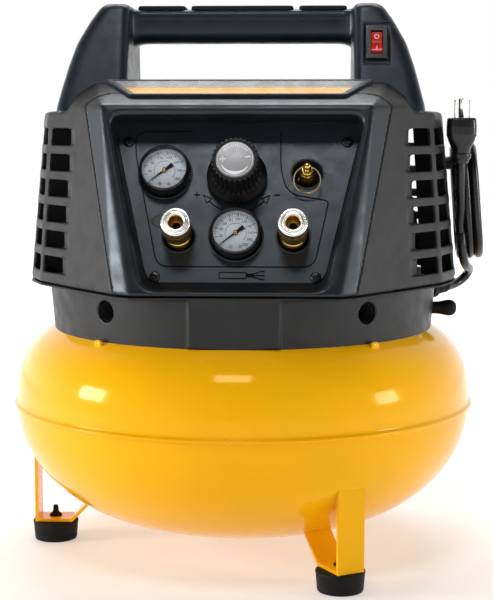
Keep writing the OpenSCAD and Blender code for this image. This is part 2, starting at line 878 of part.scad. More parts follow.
module power_cord_tail() {
    color("#111214") {
        tube(cord_route, cord_d / 2, 8);
        tube(lead_route, cord_d / 2, 8);
    }
}

module slot_outline(r) {
    run = (hank_z[1] - hank_z[0]) / 2 - hank_bend_r;
    union() {
        for (z = [-run, run]) translate([z, 0]) circle(r = r);
        translate([-run, -r]) square([2 * run, 2 * r]);
    }
}

module power_cord_hank() {
    mid = (hank_z[0] + hank_z[1]) / 2;
    color("#111214") translate([hank_x[0], hank_y, hank_z[0]]) rotate([0, -hank_tilt, 0])
        translate([0, 0, mid - hank_z[0]]) rotate([0, 90, 0]) linear_extrude(hank_x[1] - hank_x[0])
            difference() {
                slot_outline(hank_bend_r + cord_d / 2);
                slot_outline(hank_inner_r);
            }
}

module plug_body() {
    color("#111214") translate(plug_at) {
        translate([-13, -10, -14]) cube([26, 20, 28]);
        translate([0, 2, -26]) cylinder(h = 12, r1 = 5.5, r2 = 9);
    }
}

module plug_blades() {
    color("silver") translate(plug_at) {
        for (x = [-6.35, 6.35]) translate([x - 0.75, -6, 14]) cube([1.5, 6.3, 16]);
        translate([0, 6, 14]) cylinder(h = 18, r = 2.4);
    }
}

tank_upper_shell();
tank_lower_shell();
tank_bungs();
leg(leg_angles[0]);  // leg_front_right
leg(leg_angles[1]);  // leg_left
leg(leg_angles[2]);  // leg_rear_right
foot(leg_angles[0]);  // foot_front_right
foot(leg_angles[1]);  // foot_left
foot(leg_angles[2]);  // foot_rear_right
shroud_mount_tabs();
drain_valve_body();
drain_valve_wing();
lower_shroud();
front_cover();
main_cover();
rear_cover();
console_panel();
console_screws();
cover_screws();
label_plate();
label_decal();
handle_frame();
handle_grip_pads();
handle_straps();
switch_body();
switch_rocker();
gauge_case(gauge_at[0], 19);  // tank_gauge_case
gauge_needle(gauge_at[0]);  // tank_gauge_needle
gauge_case(gauge_at[1], 3);  // outlet_gauge_case
gauge_dials();
gauge_needle(gauge_at[1]);  // outlet_gauge_needle
gauge_lenses();
regulator_body();
regulator_knob();
regulator_knob_cap();
coupler_body(-coupler_x);  // coupler_body_left
coupler_body(coupler_x);  // coupler_body_right
coupler_sleeve(-coupler_x);  // coupler_sleeve_left
coupler_sleeve(coupler_x);  // coupler_sleeve_right
relief_valve_body();
relief_valve_stem();
relief_valve_ring();
air_manifold();
pressure_switch();
check_valve();
delivery_tube();
pump_deck();
motor_housing();
motor_rotor();
crankcase();
crankshaft_flywheel();
pump_cylinder();
intake_filter();
piston_rod();
drive_belt();
cord_hooks();
power_cord_tail();
power_cord_hank();
plug_body();
plug_blades();
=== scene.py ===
"""Looks for the pancake air compressor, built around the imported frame. Lengths in helpers are mm."""
import math

import bmesh
import bpy
from mathutils import Matrix, Vector


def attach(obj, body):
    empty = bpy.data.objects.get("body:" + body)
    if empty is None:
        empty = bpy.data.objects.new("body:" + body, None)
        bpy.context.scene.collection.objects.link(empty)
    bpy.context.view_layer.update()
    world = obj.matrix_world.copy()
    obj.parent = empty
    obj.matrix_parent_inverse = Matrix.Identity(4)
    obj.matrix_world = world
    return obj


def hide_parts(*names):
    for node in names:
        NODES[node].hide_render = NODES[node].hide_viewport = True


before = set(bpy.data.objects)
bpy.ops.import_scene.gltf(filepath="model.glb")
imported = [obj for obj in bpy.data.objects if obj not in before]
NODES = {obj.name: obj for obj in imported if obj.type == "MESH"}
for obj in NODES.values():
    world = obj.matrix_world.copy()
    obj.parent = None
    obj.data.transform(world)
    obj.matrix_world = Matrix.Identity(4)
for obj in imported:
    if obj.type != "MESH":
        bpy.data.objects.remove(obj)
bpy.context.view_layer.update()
MM = 0.001

# console plane and handle post face, as in the CAD frame
PANEL_LEAN = math.radians(25)
PANEL_Y = -150
PANEL_Z = 255
POST_LEAN = math.radians(21)
SWITCH_AT = (117, -48.44, 452)
BODY = "frame"


# ---------------------------------------------------------------- camera
def make_camera():
    azimuth = math.radians(2.5)
    distance, height, pitch = 1.3972, 0.3893, math.radians(6.77)
    data = bpy.data.cameras.new("camera")
    data.lens = 92.85
    data.sensor_width = 36
    data.shift_x = 0.0058
    data.clip_end = 50
    camera = bpy.data.objects.new("camera", data)
    camera.location = (distance * math.sin(azimuth), -distance * math.cos(azimuth), height)
    camera.rotation_euler = (math.pi / 2 - pitch, 0, azimuth)
    bpy.context.scene.collection.objects.link(camera)
    bpy.context.scene.camera = camera


make_camera()


# ---------------------------------------------------------------- materials
def new_material(name):
    mat = bpy.data.materials.new(name)
    mat.use_nodes = True
    tree = mat.node_tree
    shader = next(n for n in tree.nodes if n.type == "BSDF_PRINCIPLED")
    return mat, tree, shader


def noise_node(tree, scale, detail=3.0):
    coord = tree.nodes.new("ShaderNodeTexCoord")
    noise = tree.nodes.new("ShaderNodeTexNoise")
    noise.inputs["Scale"].default_value = scale
    noise.inputs["Detail"].default_value = detail
    tree.links.new(coord.outputs["Object"], noise.inputs["Vector"])
    return noise


def ramp(tree, source, low, high, at=(0.35, 0.65)):
    node = tree.nodes.new("ShaderNodeValToRGB")
    node.color_ramp.elements[0].position = at[0]
    node.color_ramp.elements[1].position = at[1]
    node.color_ramp.elements[0].color = (*low, 1)
    node.color_ramp.elements[1].color = (*high, 1)
    tree.links.new(source, node.inputs["Fac"])
    return node.outputs["Color"]


def add_bump(tree, shader, source, strength, distance):
    bump = tree.nodes.new("ShaderNodeBump")
    bump.inputs["Strength"].default_value = strength
    bump.inputs["Distance"].default_value = distance
    tree.links.new(source, bump.inputs["Height"])
    tree.links.new(bump.outputs["Normal"], shader.inputs["Normal"])


def material(name, color, rough, metal=0.0, grain=None, bump=0.0, vary=0.12, coat=0.0, spec=0.5,
             blotch=25.0, rough_vary=0.06, tint=(1, 1, 1)):
    """A surface with mottled colour, uneven gloss and a fine surface grain."""
    mat, tree, shader = new_material(name)
    low = tuple(c * (1 - vary) for c in color)
    high = tuple(min(1, c * (1 + vary)) for c in color)
    mottling = noise_node(tree, blotch)
    tree.links.new(ramp(tree, mottling.outputs["Fac"], low, high), shader.inputs["Base Color"])
    gloss_noise = noise_node(tree, blotch * 3)
    r0, r1 = max(0.02, rough - rough_vary), min(1, rough + rough_vary)
    gloss = ramp(tree, gloss_noise.outputs["Fac"], (r0, r0, r0), (r1, r1, r1))
    tree.links.new(gloss, shader.inputs["Roughness"])
    shader.inputs["Metallic"].default_value = metal
    shader.inputs["Specular IOR Level"].default_value = spec
    shader.inputs["Specular Tint"].default_value = (*tint, 1)
    shader.inputs["Coat Weight"].default_value = coat
    shader.inputs["Coat Roughness"].default_value = 0.04
    if grain:
        surface = noise_node(tree, grain, 2.0)
        add_bump(tree, shader, surface.outputs["Fac"], bump, 0.0004)
    return mat


MATS = {
    "tank": material("tank_paint", (0.95, 0.46, 0.004), 0.15, grain=260, bump=0.03, vary=0.03, spec=0.3,
                     coat=0.15, rough_vary=0.03, blotch=12, tint=(1.0, 0.5, 0.06)),
    "shroud": material("shroud_plastic", (0.0105, 0.0102, 0.0100), 0.46, grain=1500, bump=0.30, vary=0.10,
                       spec=0.36),
    "front": material("front_plastic", (0.0065, 0.007, 0.0085), 0.36, grain=1500, bump=0.2, vary=0.10,
                      spec=0.5, tint=(0.84, 0.93, 1.0)),
    "console": material("console_plastic", (0.0085, 0.010, 0.0135), 0.34, grain=1300, bump=0.2, spec=0.65,
                        tint=(0.84, 0.93, 1.0)),
    "handle": material("handle_plastic", (0.006, 0.007, 0.0105), 0.38, grain=1500, bump=0.2,
                       tint=(0.78, 0.9, 1.0)),
    "rubber": material("foot_rubber", (0.005, 0.005, 0.0052), 0.6, grain=500, bump=0.3, spec=0.2),
    "cord": material("cord_jacket", (0.004, 0.004, 0.0045), 0.28, grain=300, bump=0.12),
    "brass": material("brass", (0.80, 0.50, 0.13), 0.22, metal=1, grain=900, bump=0.08, rough_vary=0.08),
    "aged_brass": material("aged_brass", (0.38, 0.23, 0.07), 0.3, metal=1, grain=700, bump=0.12, vary=0.2),
    "nickel": material("nickel", (0.96, 0.94, 0.90), 0.3, metal=1, grain=900, bump=0.04, vary=0.02),
    "wire": material("spring_wire", (0.42, 0.34, 0.22), 0.26, metal=1, grain=700, bump=0.06),
    "zinc": material("zinc_steel", (0.62, 0.60, 0.55), 0.3, metal=1, grain=600, bump=0.1),
    "steel": material("motor_steel", (0.30, 0.30, 0.31), 0.4, metal=1, grain=400, bump=0.1),
    "alloy": material("cast_alloy", (0.42, 0.43, 0.44), 0.48, metal=1, grain=350, bump=0.4),
    "iron": material("cast_iron", (0.10, 0.10, 0.11), 0.55, metal=0.6, grain=350, bump=0.5),
    "deck": material("deck_steel", (0.03, 0.03, 0.033), 0.45, grain=300, bump=0.2),
    "copper": material("copper", (0.75, 0.36, 0.2), 0.3, metal=1, grain=500, bump=0.1, vary=0.2),
    "red": material("red_plastic", (0.62, 0.02, 0.012), 0.22, grain=400, bump=0.04, coat=0.4, vary=0.05),
    "white_ink": material("white_ink", (0.82, 0.82, 0.82), 0.5, vary=0.03),
    "dial": material("dial_white", (0.80, 0.86, 0.92), 0.42, grain=300, bump=0.03, vary=0.02),
    "dial_ink": material("dial_ink", (0.012, 0.012, 0.014), 0.5, vary=0.03, spec=0.2),
    "gauge": material("gauge_black", (0.005, 0.005, 0.0055), 0.24, grain=600, bump=0.08),
    "knob": material("knob_black", (0.003, 0.003, 0.0034), 0.42, grain=900, bump=0.2, spec=0.25),
    "knob_cap": material("knob_cap_grey", (0.21, 0.21, 0.22), 0.32, metal=0.3, grain=500, bump=0.03),
    "screw": material("dark_screws", (0.03, 0.03, 0.032), 0.28, metal=0.9, grain=500, bump=0.1),
    "badge": material("badge_grey", (0.035, 0.036, 0.039), 0.45, grain=600, bump=0.1),
    "label_grey": material("label_grey", (0.27, 0.28, 0.29), 0.25, vary=0.05),
    "label_yellow": material("label_yellow", (0.88, 0.42, 0.02), 0.25, vary=0.04),
    # near-black: painted shade on the vent walls, the screw hole cups and the console's groove lines, and the
    # plain colour of the console's signs and symbol
    "dark": material("painted_shade_and_mark_dark", (0.0022, 0.0022, 0.0025), 0.7, grain=300, bump=0.1, spec=0.12),
}


def glass_material():
    mat, tree, shader = new_material("gauge_glass")
    shader.inputs["Base Color"].default_value = (1, 1, 1, 1)
    shader.inputs["Transmission Weight"].default_value = 1.0
    shader.inputs["Roughness"].default_value = 0.02
    shader.inputs["IOR"].default_value = 1.12
    film = noise_node(tree, 300)
    add_bump(tree, shader, film.outputs["Fac"], 0.01, 0.0002)
    return mat


MATS["glass"] = glass_material()


# ---------------------------------------------------------------- mesh helpers
def on_panel(x, s, t=0.0):
    """A point on the console: x across, s up the panel, t out of it."""
    return Vector((x, PANEL_Y + s * math.sin(PANEL_LEAN) - t * math.cos(PANEL_LEAN),
                   PANEL_Z + s * math.cos(PANEL_LEAN) + t * math.sin(PANEL_LEAN)))


def panel_matrix(x, s, t=0.0):
    return Matrix.Translation(on_panel(x, s, t)) @ Matrix.Rotation(math.pi / 2 - PANEL_LEAN, 4, "X")


def post_matrix(t=0.0):
    x, y, z = SWITCH_AT
    place = Matrix.Translation((x, y, z)) @ Matrix.Rotation(math.pi / 2 - POST_LEAN, 4, "X")
    return place @ Matrix.Translation((0, 0, t))


def to_object(name, bm):
    """An object from a bmesh in mm; the vertices are scaled to metres and the bmesh is freed."""
    bmesh.ops.scale(bm, vec=(MM, MM, MM), verts=bm.verts)
    bmesh.ops.recalc_face_normals(bm, faces=bm.faces)
    mesh = bpy.data.meshes.new(name)
    bm.to_mesh(mesh)
    bm.free()
    obj = bpy.data.objects.new(name, mesh)
    bpy.context.scene.collection.objects.link(obj)
    return obj


def from_bmesh(name, bm, mat, body=BODY, matrix=None, smooth=True, node=None):
    """A piece from a bmesh in mm, on its body and the CAD node that it stands for."""
    if matrix:
        bmesh.ops.transform(bm, matrix=matrix, verts=bm.verts)
    obj = to_object(name, bm)
    obj.data.materials.append(MATS[mat])
    if smooth:
        obj.data.shade_smooth()
    if body:
        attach(obj, body)
    if node:
        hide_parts(node)
    return obj


def settle(obj, node):
    """Puts a piece that was cut to shape on the frame and the CAD node that it stands for."""
    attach(obj, BODY)
    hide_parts(node)
    return obj


def loft(bm, rings, close_ends=True):
    """Quads between successive rings of points; returns the rows of vertices."""
    rows = [[bm.verts.new(p) for p in ring] for ring in rings]
    count = len(rings[0])
    for low, high in zip(rows, rows[1:]):
        for i in range(count):
            j = (i + 1) % count
            bm.faces.new((low[i], low[j], high[j], high[i]))
    if close_ends:
        bm.faces.new(list(reversed(rows[0])))
        bm.faces.new(rows[-1])
    return rows


def turned(profile, segments=96):
    """A bmesh turned about local Z from (r, z) points: a closed ring, or a profile from axis to axis."""
    bm = bmesh.new()
    grid = []
    for i in range(segments):
        a = 2 * math.pi * i / segments
        grid.append([bm.verts.new((r * math.cos(a), r * math.sin(a), z)) for r, z in profile])
    count = len(profile)
    closed = profile[0][0] > 0
    last = count if closed else count - 1
    for i in range(segments):
        here, there = grid[i], grid[(i + 1) % segments]
        for k in range(last):
            m = (k + 1) % count
            bm.faces.new((here[k], there[k], there[m], here[m]))
    if not closed:
        bm.faces.new([grid[i][0] for i in range(segments)])
        bm.faces.new([grid[i][-1] for i in reversed(range(segments))])
    bmesh.ops.remove_doubles(bm, verts=bm.verts, dist=0.001)
    return bm


def fillet(points, radius, steps=4, closed=True):
    """Rounds the corners of a line of points with curves that start radius from each corner."""
    out = []
    count = len(points)
    radii = radius if isinstance(radius, (list, tuple)) else [radius] * count
    for i, b in enumerate(points):
        b = Vector(b)
        if not closed and i in (0, count - 1):
            out.append(b)
            continue
        a, c = Vector(points[i - 1]), Vector(points[(i + 1) % count])
        r = min(radii[i], (a - b).length * 0.49, (c - b).length * 0.49)
        p, q = b + (a - b).normalized() * r, b + (c - b).normalized() * r
        for k in range(steps + 1):
            t = k / steps
            out.append(p * (1 - t) ** 2 + b * 2 * t * (1 - t) + q * t * t)
    return out


def rounded_rect(lo, hi, radius, steps=4):
    """A rectangle between two corners, with its own corners rounded."""
    (x0, y0), (x1, y1) = lo, hi
    return fillet([(x0, y0, 0), (x1, y0, 0), (x1, y1, 0), (x0, y1, 0)], radius, steps)


def squircle(a, b, power_x, power_y, count):
    """An oval outline, squarer as its powers get smaller."""
    turns = [2 * math.pi * k / count for k in range(count)]
    return [(a * math.copysign(abs(math.cos(t)) ** power_x, math.cos(t)),
             b * math.copysign(abs(math.sin(t)) ** power_y, math.sin(t))) for t in turns]


def modifier(obj, kind, **settings):
    mod = obj.modifiers.new(kind.lower(), kind)
    for key, value in settings.items():
        setattr(mod, key, value)
    return mod


def bake(obj):
    """Applies an object's modifiers."""
    bpy.context.view_layer.update()
    evaluated = obj.evaluated_get(bpy.context.evaluated_depsgraph_get())
    mesh = bpy.data.meshes.new_from_object(evaluated)
    mesh.name = obj.name
    obj.modifiers.clear()
    obj.data = mesh
    return obj


def box_mesh(bm, lo, hi, matrix=None):
    made = bmesh.ops.create_cube(bm, size=1.0)["verts"]
    lo, hi = Vector(lo), Vector(hi)
    place = Matrix.Translation((lo + hi) / 2) @ Matrix.Diagonal((*(hi - lo), 1))
    bmesh.ops.transform(bm, matrix=(matrix or Matrix.Identity(4)) @ place, verts=made)


def rod_mesh(bm, a, b, radius, segments=48, matrix=None):
    """A solid rod from point a to point b."""
    a, b = Vector(a), Vector(b)
    turn = (b - a).to_track_quat("Z", "Y").to_matrix().to_4x4()
    place = Matrix.Translation((a + b) / 2) @ turn
    bmesh.ops.create_cone(bm, cap_ends=True, segments=segments, radius1=radius, radius2=radius,
                          depth=(b - a).length, matrix=(matrix or Matrix.Identity(4)) @ place)


def combine(obj, other, operation="DIFFERENCE"):
    """Cuts, joins or intersects obj with another object, which is then removed."""
    modifier(obj, "BOOLEAN", object=other, operation=operation, solver="EXACT")
    bake(obj)
    bpy.data.objects.remove(other)


def boolean(obj, bm, operation="DIFFERENCE"):
    """Cuts, joins or intersects obj with the bmesh, which is in mm."""
    combine(obj, to_object("cutter", bm), operation)


def crisp(obj, width=0.4, segments=2, angle=35):
    """Small rounded edges on a hard-edged piece, with normals that keep its faces flat."""
    modifier(obj, "BEVEL", width=width * MM, segments=segments, limit_method="ANGLE",
             angle_limit=math.radians(angle), harden_normals=True)
    return obj


def skinned(obj, voxel, rounds):
    """Fuses a piece's overlapping solids into one skin with soft corners."""
    modifier(obj, "REMESH", mode="VOXEL", voxel_size=voxel * MM, use_smooth_shade=True)
    modifier(obj, "SMOOTH", factor=0.5, iterations=rounds)


def moulded(obj, voxel, rounds, keep):
    """A skin with soft corners and fewer faces, as a moulding has."""
    skinned(obj, voxel, rounds)
    modifier(obj, "DECIMATE", ratio=keep)
    bake(obj)
    obj.data.shade_smooth()
    return obj


def carry(node, mat, bevel):
    """Keeps a CAD node with clean faces, small rounded edges and its own material."""
    obj = NODES[node]
    obj.data.materials.clear()
    obj.data.materials.append(MATS[mat])
    modifier(obj, "WELD", merge_threshold=0.00002)
    modifier(obj, "DECIMATE", decimate_type="DISSOLVE", angle_limit=math.radians(0.5))
    crisp(obj, bevel)


# ---------------------------------------------------------------- power cord
CORD_D = 8
HANK_TILT = math.radians(4.5)
CORD_ROUTE = [(186, 27, 234), (189, 31, 234), (193, 36, 234.6), (198, 40.6, 236.4), (202.8, 43, 239.6),
              (206.2, 42.6, 243.4), (207.6, 39.5, 247), (207.4, 34, 249.8), (206, 27, 251.6), (204, 19, 253),
              (201.6, 11, 255.6), (199.4, 4, 260), (197.6, -1, 267), (196.8, -2.6, 276), (196.2, -0.4, 286),
              (195.4, 3.6, 297), ]
LEAD_ROUTE = [(195, -7, 304), (194, -13, 316), (193, -18, 328), (193, -20, 338), (193, -20, 349)]
HANK_Y = 30
HANK_Z = (262, 368)
HANK_X = (197, 216.8)
HANK_FOOT_X = 193
HANK_BENDS = (24, 32)
HANK_TURNS = 5
PLUG_AT = (193, -22, 374)


def hank_point(x, y, z):
    """A point of the hank, which leans in with the shroud's side."""
    dx, dz = x - HANK_FOOT_X, z - HANK_Z[0]
    c, s = math.cos(HANK_TILT), math.sin(HANK_TILT)
    return (HANK_FOOT_X + dx * c - dz * s, HANK_Y + y, HANK_Z[0] + dx * s + dz * c)


def hank_points(steps=20):
    """The folded cord: a tight layer wound outwards, then a wider one wound back."""
    middle = (HANK_Z[0] + HANK_Z[1]) / 2
    run = middle - HANK_Z[0] - HANK_BENDS[1]
    total = HANK_TURNS * steps
    points = []
    for k in range(total + 1):
        t = k / total
        phase = 2 * math.pi * k / steps
        layer = min(1, max(0, (t - 0.46) / 0.08))
        bend = HANK_BENDS[0] + (HANK_BENDS[1] - HANK_BENDS[0]) * layer
        across = 2 * t if t < 0.5 else 2 - 2 * t
        x = HANK_X[0] + (HANK_X[1] - HANK_X[0]) * across
        y, rise = -bend * math.cos(phase), bend * math.sin(phase)
        half_turn = (2 * k) % steps == 0
        up, down = (x, y, middle + run + rise), (x, y, middle - run + rise)
        if half_turn and k % steps == 0:
            ends = [down] if k == total else [up] if k == 0 else [down, up]
        elif half_turn:
            ends = [up, down]
        else:
            ends = [up] if rise > 0 else [down]
        points += [hank_point(*p) for p in ends]
    return points


def cord_points():
    return CORD_ROUTE + hank_points() + LEAD_ROUTE


def smooth_curve(name, points, diameter, mat):
    """A round cord along points in mm, as one open curve."""
    curve = bpy.data.curves.new(name, "CURVE")
    curve.dimensions = "3D"
    curve.bevel_depth = diameter / 2 * MM
    curve.bevel_resolution = 6
    curve.use_fill_caps = True
    spline = curve.splines.new("NURBS")
    spline.points.add(len(points) - 1)
    for point, p in zip(spline.points, points):
        point.co = (*(Vector(p) * MM), 1)
    spline.order_u = 4
    spline.use_endpoint_u = True
    spline.resolution_u = 4
    curve.materials.append(MATS[mat])
    obj = bpy.data.objects.new(name, curve)
    bpy.context.scene.collection.objects.link(obj)
    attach(obj, BODY)
    return obj


def make_cord():
    cord = smooth_curve("power_cord", cord_points(), CORD_D, "cord")
    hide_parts("power_cord_tail", "power_cord_hank")
    return cord


# ---------------------------------------------------------------- plug, gland and hooks
def make_plug():
    x, y, z = PLUG_AT
    bm = bmesh.new()
    # cross-sections from the collar up to the face: height, half width, half depth, centre y
    sections = [(-26, 6.3, 6.3, 2), (-22.5, 7.4, 7.2, 2), (-21.5, 8.6, 8.2, 2), (-17.5, 8.8, 8.4, 2),
                (-16.5, 7.6, 7.6, 1.6), (-13, 8.4, 8.0, 1), (-6, 11.4, 9.2, 0), (-1, 12.8, 9.8, 0),
                (6, 13, 10, 0), (12.6, 12.6, 9.6, 0), (14, 11.6, 8.6, 0)]
    rings = []
    for h, a, b, cy in sections:
        power = 0.55 if h > -8 else 0.9
        rings.append([(x + px, y + cy + py, z + h) for px, py in squircle(a, b, power, power, 40)])
    loft(bm, rings)
    for dz in (-4, 0, 4):
        for side in (-1, 1):
            box_mesh(bm, (x + side * 12.2 - 0.6, y - 6, z + dz + 2),
                     (x + side * 12.2 + 0.6, y + 6, z + dz + 3.4))
    plug = from_bmesh("plug_moulding", bm, "cord")
    moulded(plug, 0.5, 3, 0.6)
    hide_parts("plug_body")
    bm = bmesh.new()
    for side in (-1, 1):
        bx = x + side * 6.35
        profile = [(-6, 13.5), (0.3, 13.5), (0.3, 28.5), (-1, 30), (-4.7, 30), (-6, 28.5)]
        rings = [[(bx + dx, y + py, z + pz) for py, pz in profile] for dx in (-0.75, 0.75)]
        loft(bm, rings)
    pins = from_bmesh("plug_pins", bm, "nickel", smooth=False)
    crisp(pins, 0.25)
    bm = turned([(0, 13.5), (2.4, 13.5), (2.4, 30), (1.9, 31.4), (0.8, 32), (0, 32)], 32)
    earth = from_bmesh("plug_earth_pin", bm, "nickel",
                       matrix=Matrix.Translation((x, y + 6, z)))
    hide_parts("plug_blades")
    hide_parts("plug_blades")
    return plug, pins, earth


def gland_matrix():
    turn = Matrix.Rotation(math.radians(53), 4, "Z")
    return Matrix.Translation(CORD_ROUTE[0]) @ turn @ Matrix.Rotation(math.pi / 2, 4, "Y")


def make_hooks():
    # strain relief: a nut against the skirt and a ribbed taper
    profile = [(0, -30), (7.6, -30), (8.3, -29.2), (8.3, -22.6), (7.6, -21.8), (6.4, -21.6)]
    z, r = -21.0, 6.3
    while z < -3:
        profile += [(r, z), (r, z + 1.7), (r - 0.9, z + 1.9), (r - 0.9, z + 2.7)]
        z, r = z + 2.9, r - 0.2
    profile += [(4.7, -1.6), (4.5, 0), (0, 0)]
    gland = from_bmesh("cord_gland", turned(profile, 40), "rubber", matrix=gland_matrix())
    crisp(gland, 0.25)
    # lower stub: a round arm with a bulb
    profile = [(0, 0), (5.8, 0), (5.4, 3), (5.6, 8), (6.6, 13), (7.2, 16), (7.2, 18.5), (6.2, 21.4),
               (3.8, 23.4), (0, 24)]
    stub = from_bmesh("cord_stub", turned(profile, 40), "rubber",
                      matrix=Matrix.Translation((168, -12, 219)) @ Matrix.Rotation(math.pi / 2, 4, "Y"))
    # upper hook: a round arm with a rounded end
    profile = [(0, 0), (7.5, 0), (6.4, 3), (5.9, 8), (5.9, 33), (6.0, 36), (5.2, 37.6), (0, 38)]
    arm = from_bmesh("cord_hook_arm", turned(profile, 40), "handle",
                     matrix=Matrix.Translation((170, HANK_Y, 347)) @ Matrix.Rotation(math.pi / 2, 4, "Y"))
    for piece in (gland, stub, arm):
        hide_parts("cord_hooks")


cord = make_cord()
plug_pieces = make_plug()
make_hooks()


# ---------------------------------------------------------------- tank, legs and feet
TANK_R = 204
SEAM_Z = 134


def cap_profile(r, rise, powers, steps=72):
    points = []
    for i in range(steps + 1):
        h = math.sin(math.pi / 2 * i / steps)
        points.append((r * (1 - h ** powers[1]) ** (1 / powers[0]) if i < steps else 0, rise * h))
    return points


def make_tank():
    top = cap_profile(TANK_R, 86, (4.2, 2.8))
    skin = [(r, SEAM_Z + z) for r, z in top if z > 3.4]
    lip = [(TANK_R - 2.4, SEAM_Z - 0.2), (TANK_R + 1.6, SEAM_Z - 0.2), (TANK_R + 2.6, SEAM_Z + 0.1),
           (TANK_R + 3, SEAM_Z + 0.8), (TANK_R + 2.9, SEAM_Z + 1.7), (TANK_R + 2.2, SEAM_Z + 2.4),
           (TANK_R + 1.2, SEAM_Z + 2.8), (TANK_R + 0.35, SEAM_Z + 3.1)]
    inner = [(r, SEAM_Z + z) for r, z in cap_profile(TANK_R - 2.5, 83.5, (4.2, 2.8))]
    from_bmesh("tank_top_half", turned(lip + skin + inner[::-1], 240), "tank",
               node="tank_upper_shell")
    bottom = cap_profile(TANK_R, 112, (3, 1.9))
    skin = [(r, SEAM_Z - z) for r, z in bottom]
    inner = [(r, SEAM_Z - z) for r, z in cap_profile(TANK_R - 2.5, 109.5, (3, 1.9))]
    from_bmesh("tank_bottom_half", turned([(r, min(z, SEAM_Z - 0.3)) for r, z in skin] + inner[::-1], 240),
               "tank", node="tank_lower_shell")
    # weld bead that fills the step under the lip
    bead = [(TANK_R - 0.6, SEAM_Z - 0.2), (TANK_R + 1.5, SEAM_Z - 0.2), (TANK_R + 1.4, SEAM_Z - 0.9),
            (TANK_R + 0.5, SEAM_Z - 1.7), (TANK_R - 0.6, SEAM_Z - 1.9)]
    from_bmesh("tank_weld_bead", turned(bead, 240), "tank")


def make_tabs():
    bm = bmesh.new()
    for angle in (41, -41, 139, -139):
        place = Matrix.Rotation(math.radians(angle), 4, "Z") @ Matrix.Translation((0, -174.2, 196))
        sections = [(0, 4.4, 1.9), (5.4, 4.4, 1.9), (7.4, 4.1, 1.7), (8.5, 3.2, 1.2), (8.95, 1.8, 0.6)]
        loft(bm, [[place @ Vector((x, y, h)) for x, y in squircle(a, b, 0.6, 0.8, 32)]
                  for h, a, b in sections])
    from_bmesh("shroud_tabs", bm, "tank", node="shroud_mount_tabs")


LEG_ANGLES = {"foot_front_right": 30, "foot_left": -90, "foot_rear_right": 150}


def make_feet():
    profile = [(0, 0), (17.6, 0), (18.8, 0.5), (19.3, 1.6), (19.6, 4.4), (19.3, 5.0), (19.3, 5.8),
               (19.8, 6.4), (20.5, 15.2), (20.9, 16.4), (20.6, 17.7), (19.6, 18.28), (4.1, 18.28),
               (4.1, 21.3), (5.6, 21.4), (5.7, 22.6), (3.4, 24.4), (2.6, 26.2), (2.3, 30.4), (1.4, 31.3),
               (0, 31.3)]
    for node, angle in LEG_ANGLES.items():
        a = math.radians(angle)
        place = Matrix.Translation((174 * math.sin(a), -174 * math.cos(a), 0))
        from_bmesh(node + "_rubber", turned(profile, 64), "rubber", matrix=place,
                   node=node)


# ---------------------------------------------------------------- shroud
# right halves of the covers' outlines, at the heights DECK_Z, BROW_Z and CROWN_Z
DECK_HALF = [(84, -171), (99, -161), (141, -107), (175, -60), (188, -28), (192, 0), (188, 50), (168, 105),
             (129, 140), (80, 156)]
BROW_HALF = [(112, -117), (128, -97), (149, -72), (167, -50), (174, -25), (177, 0), (174, 40), (160, 80),
             (126, 108), (80, 120)]
CROWN_HALF = [(104, -70), (124, -62), (130, -40), (130, 40), (112, 72), (80, 80)]
DECK_Z = 245
BROW_Z = 398.5
CROWN_Z = 418
# the low caps over the side vents, and where they end
SIDE_CAP_Z = 394
SHOULDER_X = 143
# the recess of the console and its plate: half widths, length, corner radius
RECESS_Z = (252, 391)
CONSOLE_SHAPE = ((72, 105), 143, 12)
# half the gap at the front parting line, and where the rear cover starts
PARTING_GAP = 0.35
REAR_SPLIT_Y = 62


def whole_outline(half):
    return half + [(-x, y) for x, y in reversed(half)]


def hull_solid(levels):
    """The convex solid over outlines at several heights."""
    bm = bmesh.new()
    for half, z in levels:
        for x, y in whole_outline(half):
            bm.verts.new((x, y, z))
    made = bmesh.ops.convex_hull(bm, input=bm.verts)
    bmesh.ops.delete(bm, geom=[g for g in made["geom_interior"] if isinstance(g, bmesh.types.BMVert)],
                     context="VERTS")
    return bm


def shrunk(half, d):
    """The outline moved in by about d."""
    out = []
    for x, y in half:
        length = math.hypot(x, y)
        out.append((x - d * x / length * 1.05, y - d * y / length * 1.05))
    return out


def plan_prism(bm, points, z0, z1, matrix=None):
    ring = [Vector((x, y, 0)) for x, y in points]
    rows = loft(bm, [[p + Vector((0, 0, z)) for p in ring] for z in (z0, z1)])
    if matrix:
        bmesh.ops.transform(bm, matrix=matrix, verts=rows[0] + rows[1])


VENT_ROWS = 6
VENT_TOP = 379
VENT_PITCH = 21.9
VENT_H = 14.3
VENT_LEAN = 0.075
VENT_RISE = 0.035
# plan outlines at the lowest row: a ramped pocket that runs into the front window, then the side windows
VENT_WINDOWS = [[(141, -110), (200, -110), (200, -80), (172.5, -63.2), (160, -54.5), (145, -73),
                 (152, -78.1), (144.5, -100)], [(176, -57), (195, -57), (195, -16), (165, -16), (165, -50)],
                [(165, -10), (200, -10), (200, 22), (165, 22)], [(160, 28), (200, 28), (200, 54), (160, 54)],
                ]
REAR_WINDOW = [(150, 68), (200, 68), (200, 98), (150, 98)]
THICK_WALL = [(150, -118), (175, -95), (157, -81.5), (149.5, -76.4), (131, -101), (134, -112)]


def vent_shift(z):
    return Vector((-(z - 255) * VENT_LEAN, (z - 255) * VENT_RISE, 0))


def vent_prisms(windows):
    bm = bmesh.new()
    for side in (1, -1):
        for row in range(VENT_ROWS):
            z = VENT_TOP - VENT_H - row * VENT_PITCH
            shift = vent_shift(z)
            for window in windows:
                plan_prism(bm, [((x + shift.x) * side, y + shift.y) for x, y in window], z, z + VENT_H)
    return bm


